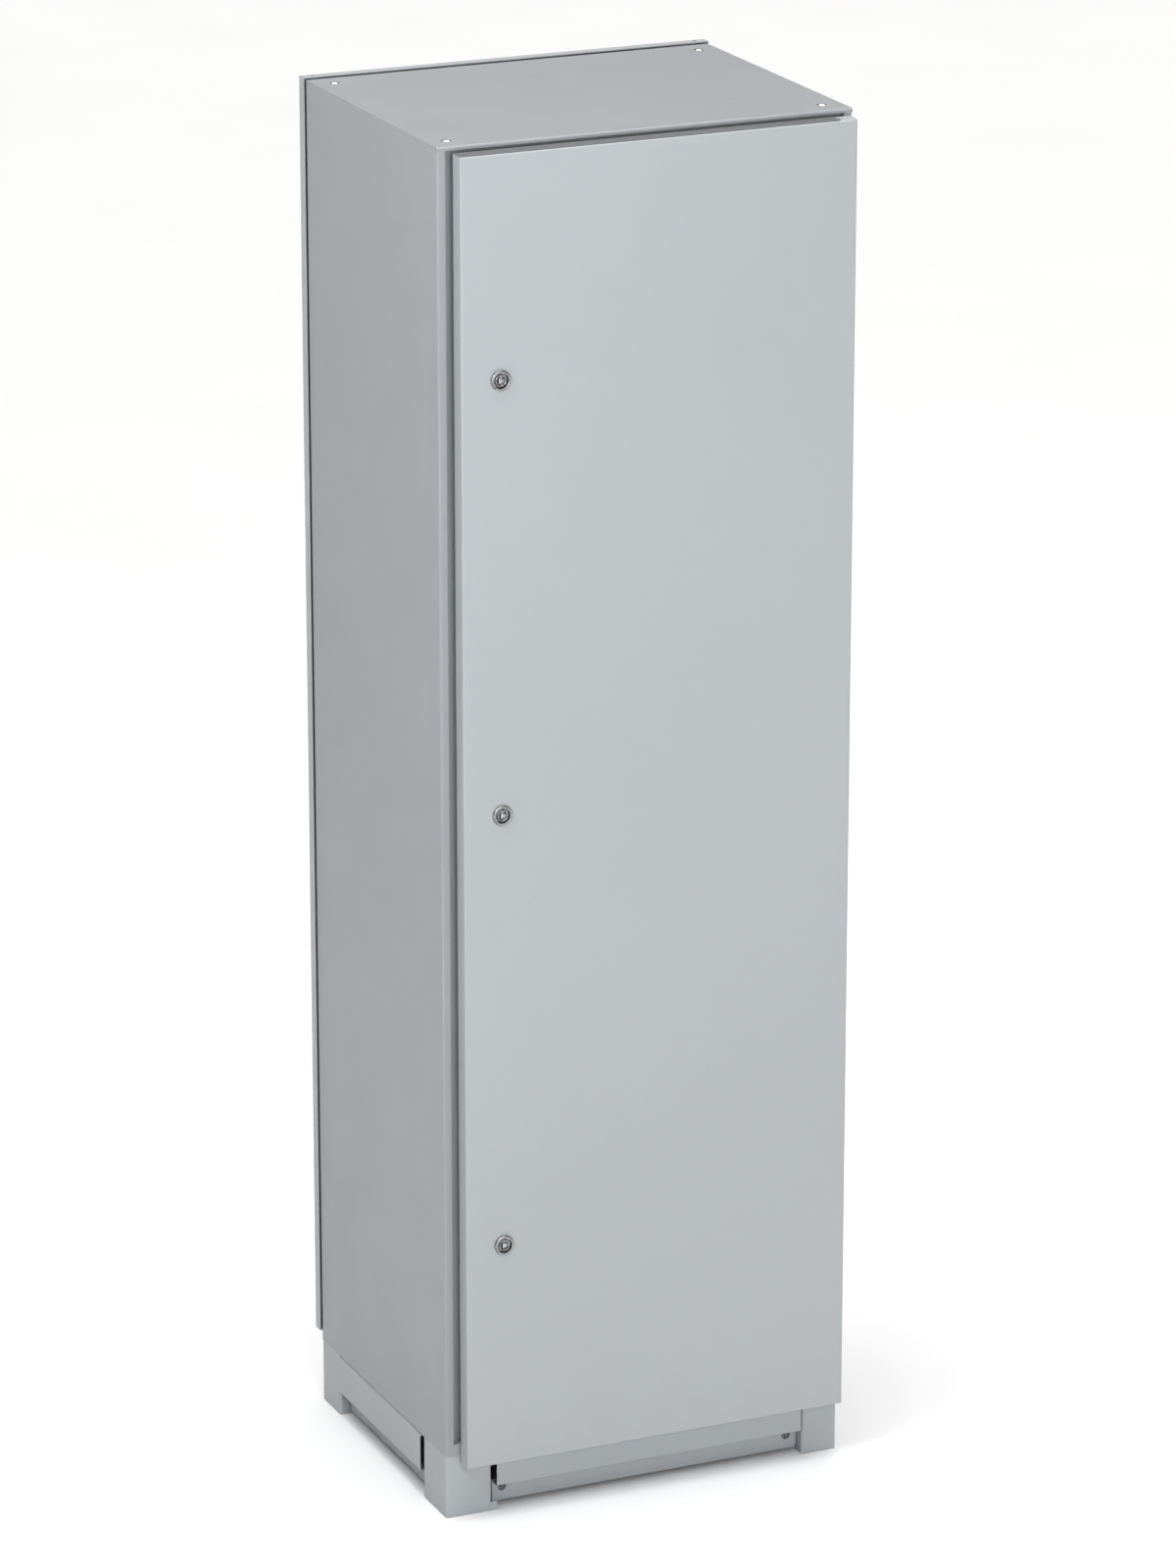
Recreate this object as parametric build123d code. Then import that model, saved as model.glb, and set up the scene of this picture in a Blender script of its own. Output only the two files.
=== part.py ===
"""Floor-standing sheet-steel switchboard cabinet on a plinth, as separate pieces.

Millimetres, +Z up. The floor is Z = 0, the door faces -Y and is hinged on the +X side.
The origin is the centre of the overall box at floor level.
"""

import os

from build123d import *

# ---------------------------------------------------------------- driving sizes
body_width = 650.0
body_depth = 500.0
body_height = 2000.0
plinth_height = 100.0
body_sheet = 1.5
door_sheet = 2.0
bend_radius = 3.0  # on the middle of the sheet

# ---------------------------------------------------------------- body folds
front_flange = 13.0
roof_flange = 6.0
base_front_flange = 18.0
rear_flange = 20.0
base_rear_flange = 35.0
gutter_width = 18.0
gutter_depth = 12.0
rear_lip_reach = 8.0
rear_lip_depth = 23.0

# ---------------------------------------------------------------- door
door_depth = 27.0
door_gap = 4.0  # between the door's folded edge and the front flanges
door_inset_left = 23.0
door_inset_right = 6.0
door_inset_top = 10.0
door_drop = 12.0  # how far the door hangs below the body
door_edge_radius = 3.0
gasket_width = 9.0
rear_gasket_width = 13.0
seal_gap = 0.3
hang_hole_radius = 3.0
hang_hole_inset = 18.0  # at the lock side and on the rear panel
hang_hole_inset_hinge = 23.0

# ---------------------------------------------------------------- hinges
pivot_inset = 8.0  # from the door's right edge
pivot_setback = 10.0  # from the door's front face
hinge_eye_radius = 5.0
hinge_pin_radius = 3.0
hinge_pin_head = 2.0
hinge_pin_head_radius = 4.5
running_clearance = 0.05
swing_clearance = 0.8  # between the sealing lip and the opening door's edge
hinge_arm_height = 10.0
hinge_arm_width = 10.0
hinge_ear_height = 13.0
hinge_leaf_height = 84.0
hinge_foot_height = 60.0
hinge_side_gap = 0.3
hinge_end_share = 0.11  # height of an end hinge from the door's end, over the door height
hinge_foot_thickness = 3.0
hinge_leaf_thickness = 2.0

# ---------------------------------------------------------------- locks
lock_inset = 60.0  # from the door's left edge
lock_shares = {"top": 0.164, "middle": 0.489, "bottom": 0.824}  # down the door
lock_flange_radius = 15.5
lock_flange_height = 4.0
lock_mouth_radius = 11.3
lock_mouth_depth = 8.0
lock_barrel_radius = 12.5
lock_core_radius = 8.5
lock_core_setback = 1.5  # from the front of the flange
lock_core_wall = 1.5
lock_thread_depth = 12.0
lock_nut_thickness = 5.0
cam_thickness = 3.0
cam_reach = 34.0
cam_half_width = 9.0
keeper_thickness = 2.0
keeper_reach = 24.0
keeper_height = 56.0
keeper_setback = 20.0  # from the door's inner face
key_side = 8.0
post_across = 5.3

# ---------------------------------------------------------------- rear panel
rear_panel_depth = 20.0
rear_panel_proud = 3.0
rear_panel_lift = 15.0
rear_screw_rows = 4

# ---------------------------------------------------------------- plinth
leg_sheet = 2.5
leg_front_left = 74.0
leg_front_right = 58.0
leg_rear = 66.0
leg_side_front = 88.0
leg_side_rear = 72.0
leg_return = 22.0
leg_hole_inset_x = 36.0
leg_hole_inset_y = 40.0
leg_setback = 0.5  # from the faces of the body
foot_tab_width = 9.0
foot_tab_height = 14.0
floor_hole_radius = 7.0
bolt_hole_radius = 6.5
panel_gap = 5.5
panel_shift = 2.5  # how far the front and side covers sit off the middle
panel_proud = 3.0
panel_joggle = 20.0
panel_top_gap = 1.0
panel_ledge_height = 40.0
panel_foot_gap = 6.5
stud_hole_radius = 7.0
stud_hole_inset = 16.0
stud_hole_height = 28.5
stud_collar_radius = 9.5

# ---------------------------------------------------------------- inside
rail_width = 30.0
rail_depth = 15.0
rail_pitch = 50.0
rail_end_gap = 30.0
rail_front_setback = 45.0
rail_hole_radius = 3.3
plate_thickness = 3.0
plate_setback = 80.0  # from the rear of the body
plate_side_gap = 55.0
plate_end_gap = 60.0
plate_fold = 15.0
bracket_thickness = 3.0
bracket_height = 70.0
bracket_overlap = 20.0
gland_margin_x = 85.0
gland_margin_y = 90.0
gland_overlap = 20.0
gland_thickness = 2.0
gland_seal = 3.0
lifting_inset_x = 31.0
lifting_inset_y = 38.0
lifting_hole_radius = 7.5
lifting_thread_radius = 6.0
lifting_nut = {"flats": 22.0, "height": 10.0}
stiffener_width = 30.0
stiffener_depth = 18.0
stiffener_inset = 88.0
stiffener_hole_radius = 3.5
pocket_width = 340.0
pocket_height = 240.0
pocket_depth = 30.0
pocket_wall = 2.0

# ---------------------------------------------------------------- fasteners
small_screw = {"head": 5.0, "rise": 3.0, "shank": 2.9}
large_screw = {"head": 9.0, "rise": 7.0, "shank": 6.0}
cam_screw = {"head": 5.0, "rise": 3.0, "shank": small_screw["shank"] - running_clearance}
plate_bolt = {"head": 6.5, "sink": 2.0, "shank": 3.9, "socket": 5.0, "socket_depth": 1.5}
small_nut = {"flats": 10.0, "height": 6.0}
leaf_nut = {"flats": 9.0, "height": 4.0}
plate_nut = {"flats": 13.0, "height": 6.0}
large_nut = {"flats": 19.0, "height": 10.0}
thread_run_out = 4.0  # how far a screw stands past its nut
tapped_depth = 8.0  # how far a screw goes into a tapped rail or gutter
screw_hole_clearance = 0.4
earth_stud_radius = 4.0
head_rise = small_screw["rise"]

# ---------------------------------------------------------------- derived planes
total_depth = (
    lock_flange_height + door_depth + door_gap + body_depth + rear_panel_depth + head_rise
)
front = -total_depth / 2 + lock_flange_height + door_depth + door_gap
rear = front + body_depth
left = -body_width / 2
right = body_width / 2
body_bottom = plinth_height
body_top = plinth_height + body_height

door_left = left + door_inset_left
door_right = right - door_inset_right
door_top = body_top - door_inset_top
door_bottom = body_bottom - door_drop
door_height = door_top - door_bottom
door_front = front - door_gap - door_depth
door_back = front - door_gap
door_inner = door_front + door_sheet

gutter_x = body_width / 2 - front_flange
gutter_top = body_top - roof_flange
gutter_bottom = body_bottom + base_front_flange
lip_x = gutter_x - gutter_width
lip_top = gutter_top - gutter_width
lip_bottom = gutter_bottom + gutter_width
gutter_floor = front + gutter_depth

pivot_x = door_right - pivot_inset
pivot_y = door_front + pivot_setback
swing_radius = (pivot_inset**2 + (door_depth - pivot_setback) ** 2) ** 0.5 + swing_clearance
lip_to_pivot = pivot_x - lip_x
lip_front = pivot_y + max(swing_radius**2 - lip_to_pivot**2, 0) ** 0.5
hinge_heights = [
    door_bottom + hinge_end_share * door_height,
    (door_bottom + door_top) / 2,
    door_top - hinge_end_share * door_height,
]
lock_x = door_left + lock_inset
lock_heights = {name: door_top - share * door_height for name, share in lock_shares.items()}
keeper_front = door_inner + keeper_setback - keeper_thickness
cam_front = door_inner + keeper_setback + seal_gap

AXIS_TURN = {"X": Rot(0, 90, 0), "Y": Rot(-90, 0, 0), "Z": Rot(0, 0, 0)}


# ---------------------------------------------------------------- shape helpers
def block(x_span, y_span, z_span):
    """Box between two limits on each axis."""
    spans = (x_span, y_span, z_span)
    size = [max(span) - min(span) for span in spans]
    middle = [sum(span) / 2 for span in spans]
    return Pos(*middle) * Box(*size)


def placed(axis, centre, span):
    """Location at the middle of a span along an axis; centre is on the other two axes."""
    place = list(centre)
    place.insert("XYZ".index(axis), sum(span) / 2)
    return Pos(*place) * AXIS_TURN[axis]


def rod(axis, centre, span, radius):
    """Round bar along an axis."""
    return placed(axis, centre, span) * Cylinder(radius, max(span) - min(span))


def prism(axis, centre, span, across_flats, sides=6, turn=0):
    """Regular bar along an axis, such as a hexagon, turned about that axis by some degrees."""
    outline = Rot(0, 0, turn) * RegularPolygon(across_flats / 2, sides, major_radius=False)
    length = max(span) - min(span)
    return placed(axis, centre, span) * Pos(0, 0, -length / 2) * extrude(outline, length)


def ring(x_span, y_span, z_span, width):
    """Rectangular picture frame that faces along Y."""
    x_in = (min(x_span) + width, max(x_span) - width)
    z_in = (min(z_span) + width, max(z_span) - width)
    return block(x_span, y_span, z_span) - block(x_in, y_span, z_in)


def folded(points, sheet, length):
    """Sheet folded along the polyline through its middle, extruded along the third axis."""
    return extrude(trace(FilletPolyline(*points, radius=bend_radius), sheet), length)


def tray(x_span, y_span, z_span, sheet, open_side):
    """Shallow folded tray that faces along Y, open at +Y (open_side 1) or -Y (open_side -1)."""
    closed = min(y_span) if open_side > 0 else max(y_span)
    opened = max(y_span) if open_side > 0 else min(y_span)

    def rounded(x, y_face, z, radius):
        body = block(x, (y_face, opened), z)
        edges = [e for e in body.edges() if abs(e.center().Y - y_face) < sheet / 10]
        return fillet(edges, radius)

    outer = rounded(x_span, closed, z_span, door_edge_radius)
    x_in = (min(x_span) + sheet, max(x_span) - sheet)
    z_in = (min(z_span) + sheet, max(z_span) - sheet)
    inner = rounded(x_in, closed + open_side * sheet, z_in, door_edge_radius - sheet / 2)
    return outer - inner


def flip_x(shape):
    """The same piece on the other side of the middle plane."""
    return mirror(shape, about=Plane.YZ)


def group(shapes):
    """Several separate solids kept as one piece."""
    return Compound(children=list(shapes))


def screw(axis, centre, seat, side, length, size=small_screw):
    """Button-head screw: the head stands on the seat towards side, the shank goes the other way."""
    rise = size["rise"]
    head = rod(axis, centre, (seat, seat + side * rise), size["head"])
    rim = [e for e in head.edges() if e.geom_type == GeomType.CIRCLE]
    outer = max(rim, key=lambda e: side * tuple(e.center())["XYZ".index(axis)])
    head = fillet([outer], rise / 3)
    socket_span = (seat + side * rise / 2, seat + side * (rise + 1))
    head -= prism(axis, centre, socket_span, size["head"])
    return head + rod(axis, centre, (seat, seat - side * length), size["shank"])


def nut(axis, centre, span, across_flats, bore):
    """Hexagon nut with a plain bore."""
    return prism(axis, centre, span, across_flats) - rod(axis, centre, span, bore)


# ---------------------------------------------------------------- body shell
rear_screw_x = body_width / 2 - rear_flange / 2
rear_screw_low = body_bottom + rear_panel_lift + 3 * rear_flange
rear_screw_high = body_top - 3 * rear_flange
rear_screw_step = (rear_screw_high - rear_screw_low) / (rear_screw_rows - 1)
rear_screw_points = [
    (side * rear_screw_x, rear_screw_low + row * rear_screw_step)
    for side in (-1, 1)
    for row in range(rear_screw_rows)
]
clear_hole = small_screw["shank"] + screw_hole_clearance
lifting_points = [
    (side * (body_width / 2 - lifting_inset_x), y)
    for side in (-1, 1)
    for y in (front + lifting_inset_y, rear - lifting_inset_y)
]
leg_points = [
    (side * (body_width / 2 - leg_hole_inset_x), y)
    for side in (-1, 1)
    for y in (front + leg_hole_inset_y, rear - leg_hole_inset_y)
]


def side_panel():
    """Left side: outer wall with a front flange and a rear flange, open below the roof."""
    half = body_sheet / 2
    path = [
        (left + front_flange, front + half),
        (left + half, front + half),
        (left + half, rear - half),
        (left + rear_flange, rear - half),
    ]
    wall = Pos(0, 0, body_bottom) * folded(path, body_sheet, body_height - body_sheet)
    corner = block(
        (left - 1, left + front_flange + 1),
        (front - 1, front + bend_radius + half + seal_gap),
        (gutter_top, body_top),
    )
    wall -= corner
    for x, z in rear_screw_points:
        if x < 0:
            wall -= rod("Y", (x, z), (rear - 2 * body_sheet, rear + 1), clear_hole)
    return wall


def body_earth_stud():
    """Earth stud welded to the inside of the left side panel."""
    centre = (front + 2 * rail_front_setback + rail_width, body_bottom + 2 * rail_width)
    stud = rod("X", centre, (-rail_wall, -rail_wall + stiffener_depth), earth_stud_radius)
    collar = (-rail_wall, -rail_wall + earth_stud_radius)
    return stud + prism("X", centre, collar, 3 * earth_stud_radius)


def roof():
    """Top sheet folded down at the front and the rear, with the four lifting holes."""
    half = body_sheet / 2
    path = [
        (front + half, body_top - roof_flange),
        (front + half, body_top - half),
        (rear - half, body_top - half),
        (rear - half, body_top - rear_flange),
    ]
    sheet = folded(path, body_sheet, body_width)
    sheet = Plane(origin=(left, 0, 0), x_dir=(0, 1, 0), z_dir=(1, 0, 0)) * sheet
    for side in (-1, 1):
        notch_x = (side * (body_width / 2 - rear_flange), side * (body_width / 2 + 1))
        notch_y = (rear - 2 * bend_radius, rear + 1)
        sheet -= block(notch_x, notch_y, (body_top - 2 * rear_flange, body_top - body_sheet))
    for x, y in lifting_points:
        sheet -= rod("Z", (x, y), (body_top - 2 * body_sheet, body_top + 1), lifting_hole_radius)
    return sheet


def base_frame():
    """Floor sheet of the body with the cable opening, a front flange and a rear flange."""
    inside = body_width / 2 - body_sheet
    floor_z = (body_bottom, body_bottom + door_sheet)
    floor = block((-inside, inside), (front + body_sheet, rear - body_sheet), floor_z)
    floor += block((-gutter_x, gutter_x), (front, front + body_sheet), (body_bottom, gutter_bottom))
    rear_x = body_width / 2 - rear_flange
    upstand_z = (body_bottom, body_bottom + base_rear_flange)
    floor += block((-rear_x, rear_x), (rear - body_sheet, rear), upstand_z)
    corner = bend_radius + body_sheet
    for side in (-1, 1):
        for y in (front, rear):
            corner_x = (side * (body_width / 2 - corner), side * body_width / 2)
            corner_y = (y - corner, y + corner)
            floor -= block(corner_x, corner_y, (floor_z[0] - 1, floor_z[1] + 1))
    opening_x = body_width / 2 - gland_margin_x
    floor -= block(
        (-opening_x, opening_x),
        (front + gland_margin_y, rear - gland_margin_y),
        (body_bottom - 1, body_bottom + 2 * door_sheet),
    )
    for x, y in leg_points:
        floor -= rod("Z", (x, y), (body_bottom - 1, body_bottom + 2 * door_sheet), bolt_hole_radius)
    for x, y in gland_screw_points():
        floor -= rod("Z", (x, y), (body_bottom - 1, body_bottom + 2 * door_sheet), clear_hole)
    return floor


def front_sealing_frame():
    """Rain gutter behind the front flanges with the lip that presses into the door seal."""
    outer_x = (-gutter_x - body_sheet, gutter_x + body_sheet)
    outer_z = (gutter_bottom - body_sheet, gutter_top + body_sheet)
    back = gutter_floor + body_sheet
    frame = ring(outer_x, (front + body_sheet, back), outer_z, body_sheet)
    frame += ring(outer_x, (gutter_floor, back), outer_z, gutter_width + 2 * body_sheet)
    frame += ring((-lip_x, lip_x), (lip_front, back), (lip_bottom, lip_top), body_sheet)
    for z in hinge_heights:
        for offset in hinge_foot_offsets():
            hole_y = (gutter_floor - 1, back + 1)
            frame -= rod("Y", (hinge_foot_x(), z + offset), hole_y, clear_hole)
    for z in lock_heights.values():
        for offset in keeper_offsets():
            hole_x = (-lip_x - 1, -lip_x + body_sheet + 1)
            frame -= rod("X", (keeper_screw_y(), z + offset), hole_x, clear_hole)
    return frame


def rear_sealing_frame():
    """Rim inside the rear flanges with the lip that presses into the rear panel's seal."""
    x = body_width / 2 - rear_flange
    span = (rear - rear_lip_depth + rear_lip_reach, rear + rear_lip_reach)
    return ring((-x, x), span, (body_bottom + base_rear_flange, body_top - rear_flange), body_sheet)


def rear_panel():
    """Rear cover: a tray a little wider than the body, with two paint-hanging holes on top."""
    x = body_width / 2 + rear_panel_proud
    top = body_top + rear_panel_proud
    y_span = (rear + seal_gap, rear + rear_panel_depth)
    cover = tray((-x, x), y_span, (body_bottom + rear_panel_lift, top), body_sheet, -1)
    for point in rear_screw_points:
        hole_y = (rear + rear_panel_depth - 2 * body_sheet, rear + rear_panel_depth + 1)
        cover -= rod("Y", point, hole_y, clear_hole)
    for side in (-1, 1):
        hole = (side * (x - hang_hole_inset), rear + rear_panel_depth / 2)
        cover -= rod("Z", hole, (top - 2 * body_sheet, top + 1), hang_hole_radius)
    return cover


def rear_gasket():
    """Rubber strip inside the rear panel, in line with the rear lip."""
    x = body_width / 2 - rear_flange - body_sheet / 2 + rear_gasket_width / 2
    z = (
        body_bottom + base_rear_flange + body_sheet / 2 - rear_gasket_width / 2,
        body_top - rear_flange - body_sheet / 2 + rear_gasket_width / 2,
    )
    y = (rear + rear_lip_reach + seal_gap, rear + rear_panel_depth - body_sheet)
    seal = ring((-x, x), y, z, rear_gasket_width)
    for point in rear_screw_points:
        seal -= rod("Y", point, (rear, rear + rear_panel_depth), 2 * clear_hole)
    return seal


def shell_parts():
    """Everything folded or welded to form the body."""
    left_panel = side_panel()
    right_panel = flip_x(left_panel)
    left_panel += body_earth_stud()
    seat = rear + rear_panel_depth
    nut_y = (rear - body_sheet - small_nut["height"], rear - body_sheet)
    length = seat - nut_y[0] + thread_run_out
    screws = [screw("Y", point, seat, 1, length) for point in rear_screw_points]
    nuts = [nut("Y", point, nut_y, small_nut["flats"], clear_hole) for point in rear_screw_points]
    under = body_top - body_sheet
    lifting = [
        nut("Z", point, (under - lifting_nut["height"], under), lifting_nut["flats"],
            lifting_thread_radius)
        for point in lifting_points
    ]
    return {
        "left_side_panel": left_panel,
        "right_side_panel": right_panel,
        "roof_panel": roof(),
        "base_frame": base_frame(),
        "front_sealing_frame": front_sealing_frame(),
        "rear_sealing_frame": rear_sealing_frame(),
        "rear_panel": rear_panel(),
        "rear_gasket": rear_gasket(),
        "rear_panel_screws": group(screws),
        "rear_panel_nuts": group(nuts),
        "lifting_nuts": group(lifting),
    }


# ---------------------------------------------------------------- cable entry
def gland_screw_points():
    """Screw positions: four on each of the two gland plates."""
    x = body_width / 2 - gland_margin_x + gland_overlap / 2
    low = front + gland_margin_y - gland_overlap / 2
    high = rear - gland_margin_y + gland_overlap / 2
    middle = (low + high) / 2
    rows = (low, middle - gland_overlap, middle + gland_overlap, high)
    return [(side * x, y) for side in (-1, 1) for y in rows]


def gland_parts():
    """Two blank gland plates on a rubber ring over the opening in the base."""
    x = body_width / 2 - gland_margin_x + gland_overlap
    low = front + gland_margin_y - gland_overlap
    high = rear - gland_margin_y + gland_overlap
    middle = (low + high) / 2
    seal_z = (body_bottom + door_sheet, body_bottom + door_sheet + gland_seal)
    plate_z = (seal_z[1], seal_z[1] + gland_thickness)
    seal = block((-x, x), (low, high), seal_z)
    inner_x = x - gland_overlap
    seal -= block((-inner_x, inner_x), (low + gland_overlap, high - gland_overlap), seal_z)
    plates = {
        "gland_plate_front": block((-x, x), (low, middle - seal_gap), plate_z),
        "gland_plate_rear": block((-x, x), (middle + seal_gap, high), plate_z),
    }
    for point in gland_screw_points():
        hole = rod("Z", point, (seal_z[0], plate_z[1]), clear_hole)
        seal -= hole
        plates = {name: plate - hole for name, plate in plates.items()}
    length = plate_z[1] - body_bottom
    screws = [screw("Z", point, plate_z[1], 1, length) for point in gland_screw_points()]
    return {**plates, "gland_gasket": seal, "gland_screws": group(screws)}


# ---------------------------------------------------------------- mounting plate and rails
rail_low = gutter_bottom + rail_end_gap
rail_count = int((body_height - 2 * base_front_flange - 2 * rail_end_gap) // rail_pitch)
rail_high = rail_low + rail_count * rail_pitch
rail_holes = [rail_low + (index + 0.5) * rail_pitch for index in range(rail_count)]
rail_wall = body_width / 2 - body_sheet
rail_face = rail_wall - rail_depth
plate_front = rear - plate_setback
plate_back = plate_front + plate_thickness
rear_rail_y = plate_back + rail_width / 2 + bracket_thickness
bracket_rows = [1, rail_count // 2, rail_count - 3]
bracket_heights = [(rail_holes[i] + rail_holes[i + 1]) / 2 for i in bracket_rows]
plate_x = body_width / 2 - plate_side_gap
plate_bolt_x = plate_x - bracket_overlap / 2
bolt_hole = plate_bolt["shank"] + screw_hole_clearance


def rail(y):
    """Left vertical channel with a row of round holes, fixed to the side wall."""
    half = body_sheet / 2
    path = [
        (-rail_wall, y - rail_width / 2 + half),
        (-rail_face - half, y - rail_width / 2 + half),
        (-rail_face - half, y + rail_width / 2 - half),
        (-rail_wall, y + rail_width / 2 - half),
    ]
    channel = Pos(0, 0, rail_low) * folded(path, body_sheet, rail_high - rail_low)
    hole_x = (-rail_face - 2 * body_sheet, -rail_face + 1)
    return channel - [rod("X", (y, z), hole_x, rail_hole_radius) for z in rail_holes]


def plate_bracket(z):
    """Left angle bracket between the rear rail and the back of the mounting plate."""
    z_span = (z - bracket_height / 2, z + bracket_height / 2)
    rail_leg_x = (-rail_face, -rail_face + bracket_thickness)
    angle = block(rail_leg_x, (plate_back, rear_rail_y + rail_width / 2), z_span)
    plate_leg_x = (-rail_face, -plate_x + bracket_overlap)
    angle += block(plate_leg_x, (plate_back, plate_back + bracket_thickness), z_span)
    hole_y = (plate_back - 1, plate_back + 2 * bracket_thickness)
    angle -= rod("Y", (-plate_bolt_x, z), hole_y, bolt_hole)
    for offset in (-rail_pitch / 2, rail_pitch / 2):
        hole_x = (-rail_face - 1, -rail_face + 2 * bracket_thickness)
        angle -= rod("X", (rear_rail_y, z + offset), hole_x, clear_hole)
    return angle


def mounting_plate():
    """Galvanised plate with its top and bottom edges folded to the rear."""
    z_low = rail_low + plate_end_gap - rail_end_gap
    z_high = rail_high - plate_end_gap + rail_end_gap
    half = plate_thickness / 2
    path = [
        (plate_front + plate_fold, z_low + half),
        (plate_front + half, z_low + half),
        (plate_front + half, z_high - half),
        (plate_front + plate_fold, z_high - half),
    ]
    sheet = folded(path, plate_thickness, 2 * plate_x)
    sheet = Plane(origin=(-plate_x, 0, 0), x_dir=(0, 1, 0), z_dir=(1, 0, 0)) * sheet
    for side in (-1, 1):
        for z in bracket_heights:
            point = (side * plate_bolt_x, z)
            sunk_y = (plate_front - 1, plate_front + plate_bolt["sink"])
            sheet -= rod("Y", point, sunk_y, plate_bolt["head"] + screw_hole_clearance)
            sheet -= rod("Y", point, (plate_front, plate_back + 1), bolt_hole)
    return sheet


def flush_bolt(point, end):
    """Bolt whose flat head is sunk in the front of the mounting plate."""
    head_end = plate_front + plate_bolt["sink"]
    head = rod("Y", point, (plate_front, head_end), plate_bolt["head"])
    socket_y = (plate_front - 1, plate_front + plate_bolt["socket_depth"])
    head -= prism("Y", point, socket_y, plate_bolt["socket"])
    return head + rod("Y", point, (head_end, end), plate_bolt["shank"])


def inside_parts():
    """Rails, mounting plate and its fixings."""
    front_rail = rail(front + gutter_depth + rail_front_setback)
    rear_rail = rail(rear_rail_y)
    brackets = [plate_bracket(z) for z in bracket_heights]
    brackets += [flip_x(angle) for angle in brackets]
    bolts = []
    nuts = []
    rail_screws = []
    for side in (-1, 1):
        for z in bracket_heights:
            point = (side * plate_bolt_x, z)
            back = plate_back + bracket_thickness
            nut_y = (back, back + plate_nut["height"])
            bolts.append(flush_bolt(point, nut_y[1] + thread_run_out))
            nuts.append(nut("Y", point, nut_y, plate_nut["flats"], bolt_hole))
            for offset in (-rail_pitch / 2, rail_pitch / 2):
                seat = side * (rail_face - bracket_thickness)
                spot = (rear_rail_y, z + offset)
                length = bracket_thickness + tapped_depth
                rail_screws.append(screw("X", spot, seat, -side, length))
    return {
        "front_left_rail": front_rail,
        "front_right_rail": flip_x(front_rail),
        "rear_left_rail": rear_rail,
        "rear_right_rail": flip_x(rear_rail),
        "mounting_plate": mounting_plate(),
        "plate_brackets": group(brackets),
        "plate_bolts": group(bolts),
        "plate_nuts": group(nuts),
        "bracket_screws": group(rail_screws),
    }


# ---------------------------------------------------------------- plinth
def leg(front_wing, side_wing, front_gap, side_gap):
    """Corner leg with its outer corner at the origin and its wings along +X and +Y."""
    path = [
        (front_wing - leg_sheet / 2, leg_return),
        (front_wing - leg_sheet / 2, leg_sheet / 2),
        (leg_sheet / 2, leg_sheet / 2),
        (leg_sheet / 2, side_wing - leg_sheet / 2),
        (leg_return, side_wing - leg_sheet / 2),
    ]
    shell = folded(path, leg_sheet, plinth_height)
    inner_x = (leg_sheet, front_wing - leg_sheet)
    inner_y = (leg_sheet, side_wing - leg_sheet)
    foot = block(inner_x, inner_y, (0, leg_sheet))
    cap = block(inner_x, inner_y, (plinth_height - leg_sheet, plinth_height))
    hole = (leg_hole_inset_x - leg_setback, leg_hole_inset_y - leg_setback)
    foot -= rod("Z", hole, (-1, leg_sheet + 1), floor_hole_radius)
    cap -= rod("Z", hole, (plinth_height - 2 * leg_sheet, plinth_height + 1), bolt_hole_radius)
    shell = shell + foot + cap
    lug_z = (panel_foot_gap + leg_sheet, panel_ledge_height)
    lug_depth = (leg_return - leg_sheet / 2, leg_return + leg_sheet / 2)
    front_stud = front_wing + front_gap + stud_hole_inset
    side_stud = side_wing + side_gap + stud_hole_inset
    shell += block((front_wing - leg_sheet, front_stud + stud_hole_inset), lug_depth, lug_z)
    shell += block(lug_depth, (side_wing - leg_sheet, side_stud + stud_hole_inset), lug_z)
    through = (leg_return - 2 * leg_sheet, leg_return + 2 * leg_sheet)
    shell -= rod("Y", (front_stud, stud_hole_height), through, clear_hole)
    shell -= rod("X", (side_stud, stud_hole_height), through, clear_hole)
    return shell


def plinth_panel(length):
    """Joggled cover along +X from the origin: proud upper face, set-back lower strip."""
    half = body_sheet / 2
    face = -panel_proud + half
    strip = face + panel_joggle
    path = [
        (strip, plinth_height - panel_top_gap - half),
        (face, plinth_height - panel_top_gap - half),
        (face, panel_ledge_height),
        (strip, panel_ledge_height),
        (strip, panel_foot_gap),
    ]
    cover = folded(path, body_sheet, length)
    cover = Plane(origin=(0, 0, 0), x_dir=(0, 1, 0), z_dir=(1, 0, 0)) * cover
    for x in (stud_hole_inset, length - stud_hole_inset):
        cover -= rod("Y", (x, stud_hole_height), (strip - 2, strip + 2), stud_hole_radius)
    return cover


def plinth_studs(length):
    """Two push-in studs of one panel, through its lower strip into the legs' lugs."""
    strip = -panel_proud + panel_joggle
    back = strip + body_sheet
    lug = leg_return - leg_sheet / 2
    studs = []
    for x in (stud_hole_inset, length - stud_hole_inset):
        centre = (x, stud_hole_height)
        stud = rod("Y", centre, (strip, back), stud_hole_radius - screw_hole_clearance)
        stud += rod("Y", centre, (back, lug), stud_collar_radius)
        stud += rod("Y", centre, (lug, lug + 2 * leg_sheet), small_screw["shank"])
        stud -= rod("Y", centre, (strip - 1, strip + body_sheet / 2), small_screw["shank"])
        studs.append(stud)
    return studs


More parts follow.
